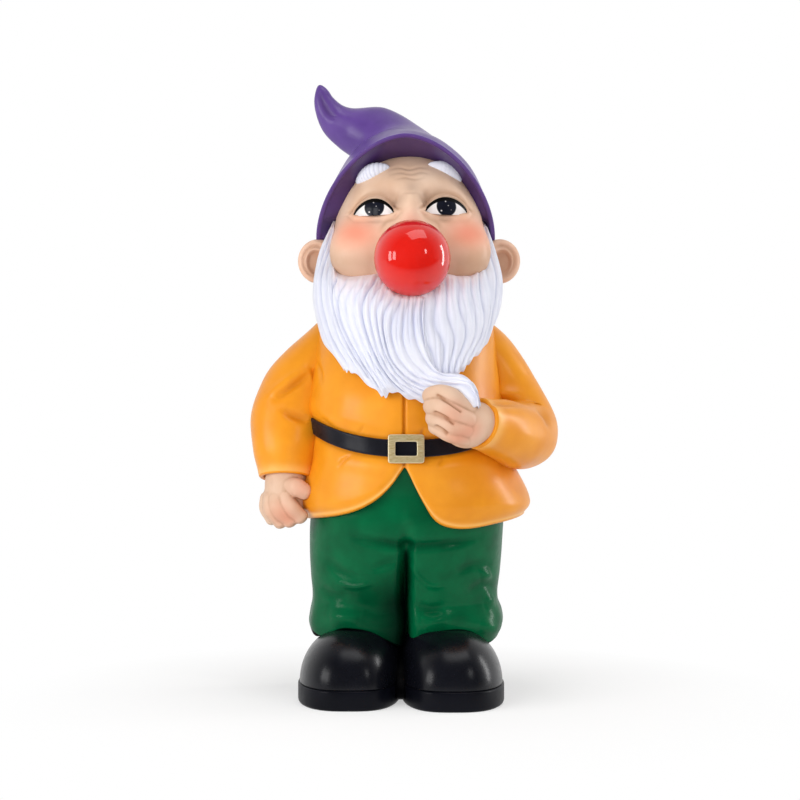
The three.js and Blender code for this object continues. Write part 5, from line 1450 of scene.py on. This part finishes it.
def hair_mesh():
    """A sheet between two edges round the back of the head, swollen in front, sunk behind, and cut in
    strands that end at different heights."""
    across = shares(330)
    front, down = there_and_back(50)
    upper, lower = (path_run(across[:, 0], edge)[:, None] for edge in (HAIR_TOP, HAIR_BOTTOM))
    base = upper + (lower - upper) * down[..., None]
    swell = np.sin(np.pi * down) ** 0.6
    locks, lane = strand_cuts(across, down, 15, sway=0.3, sharp=1.4, seed=41)
    strands, _ = strand_cuts(across, down, 44, sway=0.5, sharp=1.4, seed=42)
    reach = np.where(front, HAIR_SWELL - 1.5 * locks - 0.6 * strands, -HAIR_SUNK) * swell
    grid = HEAD + base + unit_of(base * LEVEL) * reach[..., None]
    grid[..., 2] += 3.0 * np.abs(np.cos(np.pi * lane)) ** 1.5 * gentle((down - 0.5) * 2) * front
    # Painted shade in the grooves between locks and strands.
    return mesh_of(skin(grid, "zip", wash=(0.7 * locks + 0.5 * strands) * front))


piece("hair", hair_mesh(), HAIR_PAINT)

# %% [markdown]
# The hat is a cone of felt in the carver's mind: an open rim that arches over the forehead, a crown that
# leans to the gnome's right, and a tip that curls up, with a fold below it. Rings between a few stations
# give the form, and strokes press the fold in. The rim is rolled, and its inside, darkened with painted
# shade, shows above the forehead.

# %% Forms of the hat
HAT_AT = [0.0, 0.2, 0.4, 0.58, 0.72, 0.84, 0.94, 1.0]
# Each row has a ring's middle, then reach and rise to the side, to the front and to the back.
HAT_RINGS = np.array([
    [-1.7, 2, 0, 43.8, 0.0, -47, 45, 39, -22], [-1.6, 4, 17, 38.0, 0.5, -40, 31, 38, -18],
    [-5.0, 7, 35.5, 27.5, 2.0, -32, 15, 33, -11], [-10.5, 10, 47.5, 16.5, 7.5, -19, 5, 22, -5],
    [-23.0, 12, 56, 12.0, 9.5, -12, 2, 14, -2], [-36.0, 12, 60.5, 7.0, 5.5, -8, 1, 8, 0],
    [-42.2, 10, 68.0, 4.6, 2.6, -5, 1, 5, 0], [-44.6, 9, 77.0, 2.6, 0.8, -2.6, 0, 2.6, 0],
])
HAT_POWER, TIP_SHARE = 1.14, 0.04
SEAT_WIDE, SEAT_FLARE, SEAT_HIGH, SEAT_SUNK, SEAT_BEHIND = 34.5, 6.0, 37.0, 1.5, 0.93


def hat_points(share, turn, inwards=0.0):
    """Rings placed from the middle of the head: a middle, plus a reach to the side, to the front and to the
    back, each with its own rise, drawn in by a distance. The tip is rounded off as a half circle."""
    size = smooth_run(share, HAT_AT, HAT_RINGS)
    side = signed_power(np.sin(turn), HAT_POWER)
    ahead = signed_power(np.cos(turn), HAT_POWER)[..., None]
    reach = np.where(ahead > 0, size[..., 5:7] * ahead, -size[..., 7:9] * ahead)
    offset = np.stack([size[..., 3] * side, reach[..., 0], size[..., 4] * side + reach[..., 1]], axis=-1)
    to_tip = np.clip((1.0 - share) / TIP_SHARE, 0.0, 1.0)
    shrink = (1.0 - inwards / np.linalg.norm(offset, axis=-1)) * np.sqrt(to_tip * (2.0 - to_tip))
    return HEAD + size[..., :3] + offset * shrink[..., None]


def hat_seat(rim, turn):
    """Where the hat's underside meets the head. In front it is an arch over the forehead, powers of the
    sine and the cosine that flare out over the ears, put onto the egg of the head; behind it is the rim
    drawn in a little."""
    reach = np.abs(np.sin(turn))
    x = np.sign(np.sin(turn)) * (SEAT_WIDE * reach ** 0.95 + SEAT_FLARE * reach ** 30)
    z = SEAT_HIGH * np.maximum(np.cos(turn), 0.0) ** 1.05
    room = 1.0 - (x / HEAD_HALVES["wide"]) ** 2 - (z / HEAD_HALVES["up"]) ** 2
    arch = np.stack([x, SEAT_SUNK - HEAD_HALVES["front"] * np.sqrt(np.clip(room, 0.0, 1.0)), z], axis=-1)
    return HEAD + np.where((np.cos(turn) > 0)[..., None], arch, (rim - HEAD) * SEAT_BEHIND)


print("the hat has", len(HAT_RINGS), "stations")

# %% Hat
HAT_WALL, RIM_PROUD, RIM_DROP = 2.4, 0.3, 0.5
HAT_STROKES = {
    "fold": {"width": 2.4, "height": -1.3, "wash": 0.5, "lines": [
        [(-42.5, 298.0), (-41.0, 292.0), (-38.0, 286.5), (-34.0, 283.0)],
    ]},
}


def hat_mesh():
    """Rings from the tip down to the rim, carved, then round the rim and up the inside to the head. The fold
    gets painted shade, and the darker tint turns the underside and the inside to painted shade, deepest far
    inside.
    """
    turn = turns(300)
    whole_row = np.ones_like(turn)
    share = (1.0 - shares(200) ** 1.4) * whole_row
    grid = hat_points(share, turn * np.ones_like(share))
    carving, wash = carved(grid, HAT_STROKES)
    uneven = 0.5 * slow_waves(grid, length=22.0, seed=51) * gentle(share * 6.0)
    grid = raised(grid, carving + uneven + RIM_PROUD * bell(share * 120.0, 2.0))
    bend = np.linspace(0.0, np.pi, 9)[1:, None] * whole_row
    drawn_in = HAT_WALL * (1 - np.cos(bend)) / 2 - RIM_PROUD
    under = hat_points(np.zeros_like(bend), turn * np.ones_like(bend), drawn_in)
    under[..., 2] -= RIM_DROP * np.sin(bend)
    climb = shares(30)[1:] * whole_row
    inside = under[-1:] + (hat_seat(under[-1:], turn) - under[-1:]) * climb[..., None]
    # Painted shade: the darker tint round the rim and over the inside, and more deep inside.
    tint = np.concatenate([np.zeros_like(share), bend / np.pi, np.ones_like(climb)])
    wash = np.concatenate([wash, np.zeros_like(bend), 0.4 * climb ** 3])
    return mesh_of(skin(np.concatenate([grid, under, inside]), tint=tint, wash=wash))


piece("hat", hat_mesh(), HAT_PAINT)

# %% [markdown]
# A product like this is photographed on a white sweep in a tent of soft light. The floor and the world are
# white for the camera and for reflections, while lamps and a dimmer world light the figure, so its colours
# stay as painted. The floor is mostly white for the camera but keeps the figure's shadow by mixing in some
# plain diffuse.

# %% Floor
FLOOR_SIZE = 6.0
WHITE = (1.0, 1.0, 1.0, 1.0)
# In metres: where the mirrored floor starts and ends to darken, and where the shadow gives way to white.
DARK_FROM_TO, SHADOW_FROM_TO = (-0.05, -0.35), (0.07, 0.2)


def rays(tree, kind):
    """1 for rays of a kind, 0 for all others."""
    return node(tree, "LightPath", {}, "Is " + kind + " Ray")


def sums(tree, operation, first, second):
    """One step of arithmetic on two values."""
    return node(tree, "Math", {0: first, 1: second}, operation=operation)


def white_floor():
    """Pale matte card. The camera, glass and gloss see it lifted to white away from the figure, and near it
    the shadow stays. As in the room's walls, what a gloss mirrors of it falls to dark on the camera's
    side."""
    material, tree, place = blank("white_card_floor")
    glossy = rays(tree, "Glossy")
    dark = remapped(tree, node(tree, "SeparateXYZ", {0: place}, "Y"), DARK_FROM_TO)
    hidden = sums(tree, "MULTIPLY", glossy, dark)
    pale = remapped(tree, noise(tree, place, 2.0, 2.0), end=(0.94, 0.96))
    shade = sums(tree, "MULTIPLY", pale, sums(tree, "SUBTRACT", 1.0, hidden))
    card = node(tree, "BsdfDiffuse", {"Color": shade, "Roughness": 0.5})
    glow = node(tree, "Emission", {"Color": WHITE, "Strength": 1.0})
    away = node(tree, "VectorMath", {0: place}, "Value", operation="LENGTH")
    seen = sums(tree, "MAXIMUM", rays(tree, "Camera"), rays(tree, "Transmission"))
    seen = sums(tree, "MAXIMUM", seen, sums(tree, "SUBTRACT", glossy, hidden))
    share = sums(tree, "MULTIPLY", seen, remapped(tree, away, SHADOW_FROM_TO, (0.5, 1.0)))
    node(tree, "OutputMaterial", {"Surface": node(tree, "MixShader", {0: share, 1: card, 2: glow})})
    return material


floor_mesh = bpy.data.meshes.new("floor")
corners = [(x * FLOOR_SIZE / 2, y * FLOOR_SIZE / 2, 0.0) for x, y in ((-1, -1), (1, -1), (1, 1), (-1, 1))]
floor_mesh.from_pydata(corners, [], [(0, 1, 2, 3)])
floor_mesh.materials.append(white_floor())
floor = bpy.data.objects.new("floor", floor_mesh)
bpy.context.scene.collection.objects.link(floor)
print("floor of", FLOOR_SIZE, "m")

# %% World
ROOM_LIGHT, DARK_ROOM = 0.36, 0.05
WALLS_FROM_TO = (-0.45, 0.45)


def white_tent():
    """White for the camera. The figure is lit by a dimmer room, and its gloss mirrors white walls all round
    except on the camera's side, where a studio is dark: that brightness is a ramp of the direction's y."""
    world = bpy.data.worlds.new("white_tent")
    world.use_nodes = True
    tree = world.node_tree
    tree.nodes.clear()
    direction = node(tree, "TexCoord", {}, "Generated")
    walls = remapped(tree, node(tree, "SeparateXYZ", {0: direction}, "Y"), WALLS_FROM_TO, (DARK_ROOM, 1.0))
    strength = node(tree, "Mix", {0: rays(tree, "Glossy"), 2: ROOM_LIGHT, 3: walls})
    for kind in ("Camera", "Transmission"):
        strength = node(tree, "Mix", {0: rays(tree, kind), 2: strength, 3: 1.0})
    back = node(tree, "Background", {"Color": WHITE, "Strength": strength})
    node(tree, "OutputWorld", {"Surface": back})
    return world


bpy.context.scene.world = white_tent()
print("room light", ROOM_LIGHT)

# %% [markdown]
# The streaks in the glossy ball tell where the lamps stood: a tall strip at the right and a little behind,
# two soft panels at the left, a small one at the right of the camera, and a large one overhead. The shading
# adds wide sails of thin cloth at the upper left and low at the right, which leave no streak.

# %% Lamps
# Places and sizes are in millimetres.
LAMPS = {
    "right_strip": {"at": (770, 170, 300), "size": (120, 520), "watts": 2.2},
    "left_panel_near": {"at": (-640, -500, 260), "size": (130, 300), "watts": 0.9},
    "left_panel_far": {"at": (-730, -320, 260), "size": (130, 300), "watts": 0.9},
    "front_spot": {"at": (510, -640, 430), "size": (80, 170), "watts": 0.4},
    "overhead": {"at": (150, -270, 950), "size": (600, 420), "watts": 1.9},
    "key_sail": {"at": (-470, -820, 270), "size": (500, 500), "watts": 2.8, "mirrored": False},
    "fill_sail": {"at": (200, -900, 150), "size": (500, 400), "watts": 1.45, "mirrored": False},
}
AIM = np.array([0.0, -20.0, 180.0])


def soft_lamp(name, at, size, watts, mirrored=True):
    """A rectangular lamp that looks from its place towards the middle of the figure. A sail of thin cloth
    is too dim and wide to show as a streak, so it is kept out of the mirrored light."""
    lamp = bpy.data.lights.new(name, "AREA")
    lamp.shape = "RECTANGLE"
    lamp.size, lamp.size_y = np.array(size) / 1000.0
    lamp.energy = watts
    made = bpy.data.objects.new(name, lamp)
    made.visible_glossy = mirrored
    made.location = into_frame(np.array(at))
    x, y, z = np.array(at) - AIM
    made.rotation_euler = (np.arctan2(np.hypot(x, y), z), 0.0, np.arctan2(y, x) + np.pi / 2)
    bpy.context.scene.collection.objects.link(made)


for name, lamp in LAMPS.items():
    soft_lamp(name, **lamp)
print(len(LAMPS), "lamps")
